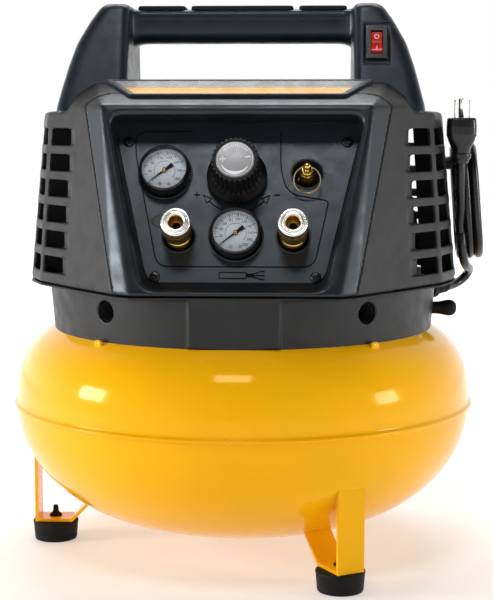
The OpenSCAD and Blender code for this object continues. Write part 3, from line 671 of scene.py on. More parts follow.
def thick_wall_tool():
    """The strip of wall that the ramped pockets are cut in."""
    bm = bmesh.new()
    for side in (1, -1):
        rings = []
        for z in (235, 392):
            shift = vent_shift(z)
            rings.append([Vector(((x + shift.x) * side, y + shift.y, z)) for x, y in THICK_WALL])
        loft(bm, rings)
    return bm


def front_tool(offset):
    """Everything in front of the parting surface, moved back by offset."""
    bm = bmesh.new()
    slope = 64 / 153
    y0 = -161 + offset - (DECK_Z - 230) * slope
    y1 = -161 + offset + (440 - DECK_Z) * slope
    outline = ((-260, 230), (y0, 230), (y1, 440), (-260, 440))
    loft(bm, [[Vector((x, y, z)) for y, z in outline] for x in (-220, 220)])
    return bm


def block_tool(lo, hi):
    bm = bmesh.new()
    box_mesh(bm, lo, hi)
    return bm


def trapezoid(half, length, radius, steps=6):
    points = [(-half[0], 0, 0), (half[0], 0, 0), (half[1], length, 0), (-half[1], length, 0)]
    return fillet(points, radius, steps)


FRAME_LEAN = math.atan((171 - 117) / (BROW_Z - DECK_Z))


def frame_matrix(z):
    y = -171 + (z - DECK_Z) * math.tan(FRAME_LEAN)
    return Matrix.Translation((0, y, z)) @ Matrix.Rotation(math.pi / 2 - FRAME_LEAN, 4, "X")


def recess_tool():
    """The opening in front of the console, with a rounded rim."""
    bm = bmesh.new()
    length = (RECESS_Z[1] - RECESS_Z[0]) / math.cos(FRAME_LEAN)
    plane = frame_matrix(RECESS_Z[0])

    def rim(grow, depth):
        half = (73 + grow, 105.5 + grow)
        ring = trapezoid(half, length + 2 * grow, 12 + grow)
        return [plane @ (Vector(p) + Vector((0, -grow, depth))) for p in ring]

    floor = [panel_matrix(0, 0, -1) @ Vector(p) for p in trapezoid(*CONSOLE_SHAPE)]
    rings = [rim(4.5, 12), rim(4.5, 1.2), rim(3.0, -0.6), rim(1.2, -1.4), rim(0.2, -2.8), rim(0, -4.5), floor]
    loft(bm, rings)
    return bm


def well_tool():
    """The walls and floor around the recess, which reach back past the parting line."""
    bm = bmesh.new()
    length = (RECESS_Z[1] - RECESS_Z[0]) / math.cos(FRAME_LEAN)
    plane = frame_matrix(RECESS_Z[0])
    outer = [plane @ (Vector(p) + Vector((0, -3, 6))) for p in trapezoid((76, 108.5), length + 6, 14)]
    floor = [panel_matrix(0, -3, -5.4) @ Vector(p) for p in trapezoid((75, 108), 149, 14)]
    loft(bm, [floor, outer])
    return bm


def make_shroud_solid():
    """The outer form of all three covers: a body with shoulders, and lower caps over the vents."""
    bm = hull_solid([(DECK_HALF, DECK_Z), (BROW_HALF, BROW_Z), (CROWN_HALF, CROWN_Z)])
    solid = from_bmesh("cover_form", bm, "shroud", body=None, smooth=False)
    for side in (1, -1):
        cut = bmesh.new()
        outer = [(SHOULDER_X, SIDE_CAP_Z + 4), (SHOULDER_X + 5, SIDE_CAP_Z + 0.8),
                 (SHOULDER_X + 12, SIDE_CAP_Z), (230, SIDE_CAP_Z - 3), (230, 450), (SHOULDER_X - 2, 450)]
        loft(cut, [[Vector((x * side, y, z)) for x, z in outer] for y in (-140, 200)])
        boolean(solid, cut)
    skinned(solid, 2.2, 9)
    return bake(solid)


def duplicate(obj, name):
    copy = bpy.data.objects.new(name, obj.data.copy())
    copy.data.name = name
    bpy.context.scene.collection.objects.link(copy)
    return copy


def finish_moulding(obj, node, mat="shroud", voxel=1.1, rounds=3, keep=0.45):
    moulded(obj, voxel, rounds, keep)
    obj.data.materials.clear()
    obj.data.materials.append(MATS[mat])
    return settle(obj, node)


def make_covers():
    form = make_shroud_solid()
    inner = hull_solid([(shrunk(DECK_HALF, 3.2), DECK_Z - 4), (shrunk(BROW_HALF, 3.2), BROW_Z - 4),
                        (shrunk(CROWN_HALF, 6), CROWN_Z - 5.5)])
    cavity = from_bmesh("cover_cavity", inner, "shroud", body=None, smooth=False)
    cut = bmesh.new()
    shoulder = [(SHOULDER_X - 3, SIDE_CAP_Z - 3.4), (230, SIDE_CAP_Z - 6.4), (230, 450),
                (SHOULDER_X - 3, 450)]
    for side in (1, -1):
        loft(cut, [[Vector((x * side, y, z)) for x, z in shoulder] for y in (-140, 200)])
    boolean(cavity, cut)
    boolean(cavity, thick_wall_tool())
    walls = duplicate(form, "cover_walls")
    combine(walls, cavity)

    front = duplicate(form, "front_cover_moulding")
    block = to_object("cutter", front_tool(-PARTING_GAP))
    boolean(block, well_tool(), "UNION")
    combine(front, block, "INTERSECT")
    behind = bmesh.new()
    outline = trapezoid((90, 112), 150, 12)
    loft(behind, [[panel_matrix(0, 0, t) @ Vector(p) for p in outline] for t in (-70, -5.4)])
    boolean(front, behind)
    boolean(front, recess_tool())
    opening = bmesh.new()
    outline = trapezoid((63, 96), 125, 8)
    loft(opening, [[panel_matrix(0, 9, t) @ Vector(p) for p in outline] for t in (-20, 10)])
    boolean(front, opening)
    finish_moulding(front, "front_cover", "front")

    main = duplicate(walls, "main_cover_moulding")
    boolean(main, front_tool(PARTING_GAP))
    boolean(main, block_tool((-230, REAR_SPLIT_Y - 0.3, 200), (230, 240, 450)))
    boolean(main, vent_prisms(VENT_WINDOWS))
    finish_moulding(main, "main_cover")

    rear = duplicate(walls, "rear_cover_moulding")
    boolean(rear, block_tool((-230, REAR_SPLIT_Y + 0.2, 200), (230, 240, 450)), "INTERSECT")
    boolean(rear, vent_prisms([REAR_WINDOW]))
    slots = bmesh.new()
    for row in range(5):
        box_mesh(slots, (-60, 60, 275 + row * 22), (60, 200, 287 + row * 22))
    boolean(rear, slots)
    finish_moulding(rear, "rear_cover")
    for obj in (form, walls):
        bpy.data.objects.remove(obj)


def make_baffle():
    """Near-black duct walls behind the side vents, painted shade for the dark inside of the shroud; the right
    one leaves a gap to see through.
    """
    for name, side, low, high in (("left", -1, (121, 186), (121, 173.7)),
                                  ("right", 1, (160, 186), (151, 173.7))):
        bm = bmesh.new()
        loft(bm, [[Vector((x * side, y, z)) for x, y in ((x0, -14), (x1, -14), (x1, -12), (x0, -12))]
                  for z, (x0, x1) in ((DECK_Z + 4, low), (380, high))])
        wall = from_bmesh("duct_shade_wall_" + name, bm, "dark", smooth=False)
        crisp(wall, 0.3)


SKIRT_TOP_R = 173
SKIRT_HOLE_ANGLES = (39, -39, 141, -141)
SKIRT_HOLE_Z = 229


def make_skirt():
    wall = turned([(166, 200), (169.5, 200), (SKIRT_TOP_R, 243), (169.5, 243)], 240)
    skirt = from_bmesh("lower_shroud_moulding", wall, "shroud", body=None)
    boolean(skirt, block_tool((-200, -170, 190), (200, 200, 260)), "INTERSECT")
    flat = bmesh.new()
    box_mesh(flat, (-37, -170, 204), (37, -166.6, 243))
    boolean(skirt, flat, "UNION")
    shelf = bmesh.new()
    plan_prism(shelf, whole_outline(DECK_HALF), DECK_Z - 2.2, DECK_Z - 0.2)
    shelf_obj = from_bmesh("shelf", shelf, "shroud", body=None)
    hole = bmesh.new()
    bmesh.ops.create_cone(hole, cap_ends=True, segments=128, radius1=162, radius2=162, depth=20,
                          matrix=Matrix.Translation((0, 0, DECK_Z)))
    boolean(shelf_obj, hole)
    combine(skirt, shelf_obj, "UNION")
    holes = bmesh.new()
    for angle in SKIRT_HOLE_ANGLES:
        a = math.radians(angle)
        out = Vector((math.sin(a), -math.cos(a), 0))
        level = Vector((0, 0, SKIRT_HOLE_Z))
        rod_mesh(holes, out * 150 + level, out * 190 + level, 9)
    boolean(skirt, holes)
    finish_moulding(skirt, "lower_shroud")


def make_rear_ledge():
    """The flat between the rear cover's foot and the round skirt."""
    radius, chord_y = SKIRT_TOP_R - 2, DECK_HALF[-1][1] - 3
    half_angle = math.acos(chord_y / radius)
    arc = [math.pi / 2 + half_angle * (1 - k / 12) for k in range(25)]
    ledge = bmesh.new()
    plan_prism(ledge, [(radius * math.cos(a), radius * math.sin(a)) for a in arc], DECK_Z - 4.2, DECK_Z - 2)
    from_bmesh("rear_ledge", ledge, "shroud", smooth=False)


def make_screw_cups():
    """Near-black cups behind the screw holes of the skirt, painted shade for the inside of the holes."""
    for angle in SKIRT_HOLE_ANGLES:
        a = math.radians(angle)
        place = Matrix.Translation((168 * math.sin(a), -168 * math.cos(a), SKIRT_HOLE_Z))
        place = place @ Matrix.Rotation(a, 4, "Z") @ Matrix.Rotation(math.pi / 2, 4, "X")
        cup = [(0, -13), (8.2, -13), (8.9, -12.4), (8.9, 1.0), (7.9, 1.0), (7.6, -11), (0, -11)]
        name = f"screw_hole_shade_cup_{'r' if angle > 0 else 'l'}{abs(angle)}"
        from_bmesh(name, turned(cup, 48), "dark", matrix=place)


# ---------------------------------------------------------------- handle
POST_TOP = 487
POST_OUTER = [(121.6, 487), (132.6, 471), (143.1, 452), (149.6, 432), (154.6, 413), (158.6, 396),
              (158.6, 384)]


def post_edge(z):
    """How far out a handle post reaches at a height."""
    for (x1, z1), (x0, z0) in zip(POST_OUTER, POST_OUTER[1:]):
        if z >= z0:
            return x0 + (x1 - x0) * (z - z0) / (z1 - z0)
    return POST_OUTER[-1][0]


def make_handle():
    lean = math.tan(POST_LEAN)
    bm = bmesh.new()
    levels = [391 + 3.5 * k for k in range(26)] + [POST_TOP - drop for drop in (5, 2.8, 1.2, 0.4, 0)]
    for side in (1, -1):
        rings = []
        for z in levels:
            inset = 5 - math.sqrt(max(0, 25 - max(0, z - POST_TOP + 5) ** 2))
            x0, x1 = 97 + inset, post_edge(z) - inset
            front, back = -35 - (POST_TOP - z) * lean + 0.4, 45 + 15 * (POST_TOP - z) / 105 - 0.4
            ring = rounded_rect((x0, front + inset), (x1, back - inset), [9, 12, 8, 8], 5)
            rings.append([Vector((p.x * side, p.y, z)) for p in ring])
        loft(bm, rings)
    # grip bar: a rounded tube that swells into both posts
    rings = []
    for k in range(45):
        x = -110 + 5 * k
        flare = max(0, (abs(x) - 86) / 14) ** 2 * 5 if abs(x) > 86 else 0
        y, z0, z1 = 20 + flare, 453.4 - flare, 482.8
        ring = rounded_rect((-y, z0), (y, z1), [14, 14, 7, 7], 6)
        rings.append([Vector((x, p.x, p.y)) for p in ring])
    loft(bm, rings)
    handle = from_bmesh("handle_moulding", bm, "handle", body=None, smooth=False)
    skinned(handle, 1.6, 6)
    bake(handle)
    tool = bmesh.new()
    box_mesh(tool, (-11.5, -19.5, -1.5), (11.5, 19.5, 8), post_matrix())
    boolean(handle, tool)
    tool = bmesh.new()
    box_mesh(tool, (-7.6, -13.6, -12), (7.6, 13.6, 8), post_matrix())
    boolean(handle, tool)
    # a shallow groove along the front and back of the bar, under the pads
    for y in (-1, 1):
        for x0, x1 in ((-90, -49), (-46, 46), (49, 90)):
            tool = bmesh.new()
            box_mesh(tool, (x0, y * 20 - 1.1, 472.6), (x1, y * 20 + 1.1, 474.2))
            boolean(handle, tool)
    moulded(handle, 1.0, 2, 0.45)
    settle(handle, "handle_frame")


def make_grip_pads():
    bm = bmesh.new()
    for x0, x1 in ((-92, -50), (-45, 45), (50, 92)):
        ring = rounded_rect((x0, -16.5), (x1, 16.5), 4, 5)
        centre = Vector(((x0 + x1) / 2, 0, 0))
        rings = []
        for z, inset in ((482.4, 0), (484.6, 0), (485.5, 0.5), (486.0, 1.6)):
            size = Vector(((x1 - x0 - 2 * inset) / (x1 - x0), (33 - 2 * inset) / 33, 1))
            rings.append([centre + Vector(((p - centre).x * size.x, p.y * size.y, z)) for p in ring])
        loft(bm, rings)
        x = x0 + 5
        while x < x1 - 4:
            box_mesh(bm, (x, -13, 485.2), (x + 1.4, 13, 486.0))
            x += 3.4
    crisp(from_bmesh("grip_pads", bm, "rubber", smooth=False,
                     node="handle_grip_pads"), 0.25)


# ---------------------------------------------------------------- text and marks
def stamp(bm, text, size, matrix, depth=0.05):
    """Adds raised characters to a bmesh in mm, centred at the matrix."""
    curve = bpy.data.curves.new("stamp", "FONT")
    curve.body = text
    curve.size = size
    curve.align_x = "CENTER"
    curve.align_y = "CENTER"
    curve.extrude = depth
    curve.resolution_u = 3
    obj = bpy.data.objects.new("stamp", curve)
    bpy.context.scene.collection.objects.link(obj)
    bpy.context.view_layer.update()
    mesh = bpy.data.meshes.new_from_object(obj.evaluated_get(bpy.context.evaluated_depsgraph_get()))
    mesh.transform(matrix)
    bm.from_mesh(mesh)
    bpy.data.objects.remove(obj)
    bpy.data.meshes.remove(mesh)
    bpy.data.curves.remove(curve)


def bar_mark(bm, a, b, width, depth=0.05, matrix=None, taper=1.0):
    """A flat raised line from a to b in the local plane."""
    a, b = Vector((*a, 0)), Vector((*b, 0))
    side = (b - a).normalized().cross(Vector((0, 0, 1))) * width / 2
    ring = [a - side, a + side, b + side * taper, b - side * taper]
    rows = loft(bm, [[p + Vector((0, 0, z)) for p in ring] for z in (-depth, depth)])
    if matrix:
        bmesh.ops.transform(bm, matrix=matrix, verts=rows[0] + rows[1])


def arc_mark(bm, r0, r1, start, stop, depth=0.05, matrix=None, steps=24, taper=False):
    """A flat raised arc between two radii, angles in degrees."""
    rings = []
    for k in range(steps + 1):
        t = k / steps
        a = math.radians(start + (stop - start) * t)
        inner = r0 + ((r1 - r0) * 0.42 * abs(2 * t - 1) if taper else 0)
        outer = r1 - ((r1 - r0) * 0.42 * abs(2 * t - 1) if taper else 0)
        rings.append([Vector((r * math.cos(a), r * math.sin(a), z)) for r, z in
                      ((inner, -depth), (outer, -depth), (outer, depth), (inner, depth))])
    rows = loft(bm, rings)
    if matrix:
        bmesh.ops.transform(bm, matrix=matrix, verts=[v for row in rows for v in row])


def line_marks(bm, points, width, depth, matrix):
    for a, b in zip(points, points[1:]):
        bar_mark(bm, a, b, width, depth, matrix)


# ---------------------------------------------------------------- gauges
GAUGES = {"tank": (-60, 96, 300, 40), "outlet": (0, 41, 200, 20)}
DIAL_START = 218
DIAL_SWEEP = -270
DIAL_TICKS = 50


def make_gauge(name, x, s, top, step):
    case = [(0, -16), (19.5, -16), (20.6, -14), (20.6, -1), (20.9, 0), (21, 9.0), (20.9, 11.2), (20.2, 13.0),
            (19.3, 13.9), (18.9, 14), (18.5, 13.6), (18.4, 11.2), (18.4, 5), (0, 5)]
    from_bmesh(name + "_gauge_housing", turned(case, 96), "gauge",
               matrix=panel_matrix(x, s), node=name + "_gauge_case")
    face = [(0, 5.05), (18.3, 5.05), (18.3, 5.8), (17.9, 6.0), (0, 6.0)]
    from_bmesh(name + "_gauge_face", turned(face, 96), "dial", matrix=panel_matrix(x, s),
               node="gauge_dials")
    marks = bmesh.new()
    plane = panel_matrix(x, s, 6.02)
    for k in range(DIAL_TICKS + 1):
        a = math.radians(DIAL_START + DIAL_SWEEP * k / DIAL_TICKS)
        long = k % 5 == 0
        r0 = 14.2 if long else 15.4
        u = Vector((math.cos(a), math.sin(a)))
        bar_mark(marks, u * r0, u * 16.9, 0.5 if long else 0.22, 0.04, plane)
    for value in range(0, top + 1, step):
        a = math.radians(DIAL_START + DIAL_SWEEP * value / top)
        place = plane @ Matrix.Translation((11.7 * math.cos(a), 11.7 * math.sin(a), 0))
        stamp(marks, str(value), 3.0, place, 0.04)
    arc_mark(marks, 8.2, 8.5, 200, -40, 0.04, plane, 40)
    from_bmesh(name + "_gauge_print", marks, "dial_ink", smooth=False, node="gauge_dials")
    rivets = bmesh.new()
    for dx in (-3.4, 3.4):
        cap = turned([(0, -0.2), (1.35, -0.2), (1.3, 0.35), (0.8, 0.75), (0, 0.85)], 24)
        bmesh.ops.transform(cap, matrix=plane @ Matrix.Translation((dx, -10.6, 0)), verts=cap.verts)
        temp = bpy.data.meshes.new("cap")
        cap.to_mesh(temp)
        cap.free()
        rivets.from_mesh(temp)
        bpy.data.meshes.remove(temp)
    from_bmesh(name + "_gauge_rivets", rivets, "zinc", node="gauge_dials")
    # needle: a long tapered pointer with a broad tail, on a domed hub
    needle = bmesh.new()
    turn = panel_matrix(x, s, 6.6) @ Matrix.Rotation(math.radians(DIAL_START), 4, "Z")
    outline = [(-7.6, -1.9), (-3.2, -1.35), (-1.8, -0.9), (6, -0.62), (14.6, -0.18), (14.6, 0.18), (6, 0.62),
               (-1.8, 0.9), (-3.2, 1.35), (-7.6, 1.9), (-8.1, 0)]
    loft(needle, [[turn @ Vector((px, py, z)) for px, py in outline] for z in (0.25, 0.75)])
    hub = turned([(0, 0.1), (2.1, 0.1), (2.1, 1.2), (1.6, 1.75), (0.8, 2.0), (0, 2.05)], 32)
    pointer = from_bmesh(name + "_pointer", needle, "dial_ink", body=name + "_needle",
                         smooth=False)
    crisp(pointer, 0.08)
    hub_piece = from_bmesh(name + "_pointer_hub", hub, "aged_brass", body=name + "_needle",
                           matrix=panel_matrix(x, s, 6.6))
    for piece in (pointer, hub_piece):
        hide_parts(name + "_gauge_needle")
    lens = turned([(0, 10.9), (18.3, 10.9), (18.3, 11.6), (15, 12.2), (9, 12.7), (0, 12.9)], 96)
    from_bmesh(name + "_gauge_glass", lens, "glass", matrix=panel_matrix(x, s),
               node="gauge_lenses")


# ---------------------------------------------------------------- regulator knob
KNOB_AT = (0, 92)


def make_knob():
    teeth, per = 28, 8
    count = teeth * per
    bm = bmesh.new()

    def ring(z, r, depth):
        out = []
        for i in range(count):
            a = 2 * math.pi * i / count
            wave = 0.5 + 0.5 * math.cos(2 * math.pi * (i % per) / per)
            reach = r - depth * (1 - wave ** 0.7)
            out.append(Vector((reach * math.cos(a), reach * math.sin(a), z)))
        return out

    levels = [(3.4, 24.4, 0), (4.0, 25, 0), (5.8, 25, 0), (7.0, 24.2, 0), (9.5, 22.2, 0), (12.4, 20.6, 0.0),
              (13.6, 20.0, 0.3), (15, 19.5, 1.3), (24, 19.2, 1.5), (33, 19.0, 1.5), (34.4, 19.0, 1.5),
              (35.0, 19.6, 1.5), (38.2, 19.6, 1.5), (39.2, 18.9, 1.2), (39.4, 18.0, 0.5), (39.4, 16.1, 0),
              (38.5, 15.9, 0), (38.5, 4, 0)]
    loft(bm, [ring(*level) for level in levels])
    knob = from_bmesh("knob_grip", bm, "knob", body="knob",
                      matrix=panel_matrix(*KNOB_AT))
    modifier(knob, "BEVEL", width=0.3 * MM, segments=2, limit_method="ANGLE", angle_limit=math.radians(50))
    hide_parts("regulator_knob")
    cap = [(0, 38.52), (15.7, 38.52), (15.75, 39.2), (15.3, 39.5), (14.6, 39.55), (0, 39.55)]
    from_bmesh("knob_disc", turned(cap, 96), "knob_cap", body="knob",
               matrix=panel_matrix(*KNOB_AT), node="regulator_knob_cap")
    marks = bmesh.new()
    plane = panel_matrix(*KNOB_AT, 39.6)
    bar_mark(marks, (-12.6, 0.2), (-7.6, 0.2), 0.9, 0.06, plane)
    bar_mark(marks, (-10.1, -2.3), (-10.1, 2.7), 0.9, 0.06, plane)
    bar_mark(marks, (7.8, 1.6), (12.4, 2.6), 0.9, 0.06, plane)
    arc_mark(marks, 10.4, 13.4, 205, 330, 0.06, plane, 30, taper=True)
    arc_mark(marks, 14.2, 14.5, 0, 359.9, 0.06, plane, 80)
    for k in range(15):
        a = math.radians(38 + 104 * k / 14)
        u = Vector((math.cos(a), math.sin(a)))
        bar_mark(marks, u * 10.9, u * 12.9, 0.5, 0.06, plane)
    from_bmesh("knob_print", marks, "white_ink", body="knob", smooth=False,
               node="regulator_knob_cap")


# ---------------------------------------------------------------- couplers and relief valve
COUPLERS = {"left": -47, "right": 47}
COUPLER_S = 40


def make_couplers():
    for side, x in COUPLERS.items():
        plane = panel_matrix(x, COUPLER_S)
        body = [(6.05, -19), (8.4, -19), (9, -18.2), (9, -8), (10.6, -7.6), (11, -7), (11, 6.2), (10.4, 7),
                (9.4, 7.4), (8.9, 8), (8.95, 32.4), (8.4, 32.65), (6.4, 32.65), (6.05, 32.2)]
        from_bmesh(f"coupler_{side}_body", turned(body, 72), "brass", matrix=plane,
                   node=f"coupler_body_{side}")
        sleeve = [(9.06, 12.2), (11.2, 12), (11.9, 12.4), (12, 13), (12, 15), (11.4, 15.6), (11.3, 16.9),
                  (12, 17.5), (12, 19.4), (11.4, 20.1), (11.3, 21.4), (12, 22), (12, 24), (11.4, 24.6),
                  (11.2, 25.4), (11.2, 28.0), (11.8, 28.6), (11.9, 29.0), (9.06, 29.0)]
        ring = from_bmesh(f"coupler_{side}_sleeve", turned(sleeve, 72), "aged_brass", body=f"sleeve_{side}",
                          matrix=plane)
        collar = [(9.06, 29.05), (11.95, 29.05), (12, 29.5), (12, 33.1), (11.6, 33.8), (10.9, 34), (9.5, 34),
                  (9.06, 33.6)]
        face = from_bmesh(f"coupler_{side}_face", turned(collar, 72), "nickel", body=f"sleeve_{side}",
                          matrix=plane)
        for part in (ring, face):
            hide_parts(f"coupler_sleeve_{side}")
        lip = [(6.3, 32.7), (6.2, 33.7), (6.6, 34), (8.85, 34), (8.95, 33.6), (8.95, 32.7)]
        from_bmesh(f"coupler_{side}_lip", turned(lip, 72), "nickel", matrix=plane)
        seat = [(6.0, 20), (6.0, 24), (3.4, 24.6), (3.2, 22), (3.2, 16), (6.0, 16)]
        from_bmesh(f"coupler_{side}_seat", turned(seat, 48), "aged_brass", matrix=plane)


RELIEF_AT = (58, 96)


def make_relief_valve():
    plane = panel_matrix(*RELIEF_AT)
    body = [(2.6, -14), (6.4, -14), (7, -12), (7, 1), (6.2, 1.6), (6.2, 3.0), (7, 3.6), (7, 6.6), (6.2, 7.2),
            (5.6, 8.2), (5.4, 9.4), (4.6, 10), (3.2, 10), (2.6, 9.6)]
    piece = from_bmesh("relief_body", turned(body, 48), "brass", matrix=plane)
    base = bmesh.new()
    bmesh.ops.create_cone(base, cap_ends=True, segments=6, radius1=8, radius2=8, depth=22,
                          matrix=plane @ Matrix.Translation((0, 0, -25)))
    hexagon = from_bmesh("relief_hex", base, "brass", smooth=False)
    crisp(hexagon, 0.5)
    for part in (piece, hexagon):
        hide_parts("relief_valve_body")
    stem = [(0, -14), (2.45, -14), (2.45, 10.4), (3.4, 10.6), (3.5, 11.6), (2.2, 12.0), (1.9, 13.4),
            (2.9, 14.2), (3.3, 15.4), (3.2, 17.2), (2.3, 18.5), (1.0, 19), (0, 19)]
    pin = from_bmesh("relief_pin", turned(stem, 40), "brass", body="relief_stem", matrix=plane)
    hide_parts("relief_valve_stem")
    # wire ring that hangs through the pin
    ring_r, wire_r = 11, 0.7
    upright = Matrix.Rotation(-(math.pi / 2 - PANEL_LEAN), 4, "X")
    centre = panel_matrix(*RELIEF_AT, 16) @ upright @ Matrix.Rotation(math.pi / 2, 4, "X")
    centre = centre @ Matrix.Translation((0, -ring_r, 0))
    side = (centre.to_3x3() @ Vector((0, 0, 1))).normalized()
    bm = bmesh.new()
    rings = []
    for k in range(64):
        a = 2 * math.pi * k / 64
        p = centre @ Vector((ring_r * math.cos(a), ring_r * math.sin(a), 0))
        out = (p - centre.translation).normalized()
        turns = [2 * math.pi * i / 16 for i in range(16)]
        rings.append([p + out * wire_r * math.cos(t) + side * wire_r * math.sin(t) for t in turns])
    loft(bm, rings + [rings[0]], close_ends=False)
    bmesh.ops.remove_doubles(bm, verts=bm.verts, dist=0.001)
    wire = from_bmesh("relief_wire", bm, "wire", body="relief_ring")
    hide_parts("relief_valve_ring")


# ---------------------------------------------------------------- console
SCREW_SPOTS = [(65.5, 5), (-65.5, 5), (91.5, 124.5), (-91.5, 124.5)]
# holes of the gauges, the knob, the couplers and the relief valve: x, height up the panel, radius
HOLES = [(x, s, 21.4) for x, s, _, _ in GAUGES.values()] + [(*KNOB_AT, 15.2)]
HOLES += [(x, COUPLER_S, 13.2) for x in COUPLERS.values()] + [(*RELIEF_AT, 12.5)]


def make_console():
    bm = bmesh.new()
    outline = trapezoid(*CONSOLE_SHAPE)
    loft(bm, [[panel_matrix(0, 0, t) @ Vector(p) for p in outline] for t in (-2.5, -0.1)])
    panel = from_bmesh("console_plate", bm, "console", body=None, smooth=False)
    cuts = bmesh.new()
    for x, s, r in HOLES:
        rod_mesh(cuts, (0, 0, -10), (0, 0, 10), r, segments=72, matrix=panel_matrix(x, s))
    boolean(panel, cuts)
    modifier(panel, "BEVEL", width=0.7 * MM, segments=3, limit_method="ANGLE", angle_limit=math.radians(40),
             harden_normals=True)
    bake(panel)
    settle(panel, "console_panel")
    # wells that the gauges, the couplers and the relief valve sit in
    for index, (x, s, r) in enumerate(HOLES):
        if r > 14:
            rim = [(r - 0.2, -2.4), (r + 1.6, -0.1), (r + 1.5, 0.5), (r + 0.7, 0.75), (r + 0.1, 0.4),
                   (r - 0.3, -0.3)]
        else:
            bore = 7.1 if r < 13 else 9.1
            rim = [(r + 1.5, -0.1), (r + 1.3, 0.55), (r + 0.5, 0.7), (r - 0.2, 0.2), (r - 0.6, -1.0),
                   (r - 1.6, -9.5), (bore, -9.8), (bore, -10.8), (r + 0.2, -10.6)]
        from_bmesh(f"console_well_{index}", turned(rim, 72), "console",
                   matrix=panel_matrix(x, s))
    # engraved outlines, raised as thin near-black beads: painted shade for the grooves
    plane = panel_matrix(0, 0, 0.0)
    bead = bmesh.new()
    outline = fillet([(-38, 134, 0), (-86, 134, 0), (-85, 112, 0), (-64, 14, 0), (64, 14, 0), (76, 72, 0),
                      (42, 78, 0), (36, 100, 0), (36, 134, 0)], [1, 14, 8, 10, 10, 4, 14, 10, 1], 6,
                     closed=False)
    line_marks(bead, [(p.x, p.y) for p in outline], 0.95, 0.22, plane)
    from_bmesh("console_groove_shade_lines", bead, "dark", smooth=False)
    # arc arrows and signs around the knob
    signs = bmesh.new()
    kx, ks = KNOB_AT
    knob_plane = panel_matrix(kx, ks, 0.0)
    arc_mark(signs, 30.2, 31.0, 222, 318, 0.3, knob_plane, 30)
    for sign in (-1, 1):
        a = math.radians(270 + sign * 48)
        tip_dir = Vector((-math.sin(a), math.cos(a))) * sign
        at = Vector((math.cos(a), math.sin(a))) * 30.6
        out = Vector((math.cos(a), math.sin(a)))
        tip = at + tip_dir * 7.0
        for way in (-1, 1):
            bar_mark(signs, tip, at + out * way * 2.9, 0.7, 0.3, knob_plane)
        bar_mark(signs, at - out * 2.9, at + out * 2.9, 0.7, 0.3, knob_plane)
    bar_mark(signs, (-35.5, -15), (-30.5, -15), 0.9, 0.3, knob_plane)
    bar_mark(signs, (-33, -17.5), (-33, -12.5), 0.9, 0.3, knob_plane)
    bar_mark(signs, (30.5, -15), (35.5, -15), 0.9, 0.3, knob_plane)
    from_bmesh("console_signs", signs, "dark", smooth=False)
    # blank oval badge beside the left coupler and the air line symbol under the gauge
    badge = bmesh.new()
    turns = [2 * math.pi * k / 48 for k in range(48)]
    ring = [(11 * math.cos(t), 6.2 * math.sin(t)) for t in turns]
    place = panel_matrix(-59, 53.5)
    levels = ((1.0, -0.15), (1.0, 0.35), (0.93, 0.6), (0.88, 0.45))
    loft(badge, [[place @ Vector((x * f, y * f, t)) for x, y in ring] for f, t in levels])
    oval = from_bmesh("console_badge", badge, "badge", smooth=False)
    crisp(oval, 0.15)
    symbol = bmesh.new()
    nozzle = panel_matrix(0, 6.6, 0.0)
    corners = [(-13, -2.6), (9, -2.6), (9, 2.6), (-13, 2.6), (-13, -2.6)]
    line_marks(symbol, corners, 0.8, 0.3, nozzle)
    for dy in (-1.6, 0, 1.6):
        line_marks(symbol, [(9, dy * 0.7), (15, dy * 0.8), (20, dy * 2.0), (24, dy * 2.2)], 0.9, 0.3, nozzle)
    from_bmesh("console_symbol", symbol, "dark", smooth=False)


def make_screws():
    for index, (x, s) in enumerate(SCREW_SPOTS):
        head = turned([(0, -9), (1.9, -9), (1.9, -0.1), (4.4, -0.1), (4.5, 0.5), (4.2, 1.4), (3.2, 2.1),
                       (1.6, 2.38), (0, 2.4)], 40)
        screw = from_bmesh(f"console_screw_{index}", head, "screw", body=None, matrix=panel_matrix(x, s))
        turn = panel_matrix(x, s) @ Matrix.Rotation(math.radians(25 + 40 * index), 4, "Z")
        for hx, hy in ((2.6, 0.5), (0.5, 2.6)):
            slot = bmesh.new()
            box_mesh(slot, (-hx, -hy, 1.1), (hx, hy, 4), turn)
            boolean(screw, slot)
        screw.data.shade_flat()
        crisp(screw, 0.15, 2, 30)
        settle(screw, "console_screws")


# ---------------------------------------------------------------- label
LABEL_Y = (-117, -70)
LABEL_SLOPE = math.atan((CROWN_Z - BROW_Z) / (LABEL_Y[1] - LABEL_Y[0]))


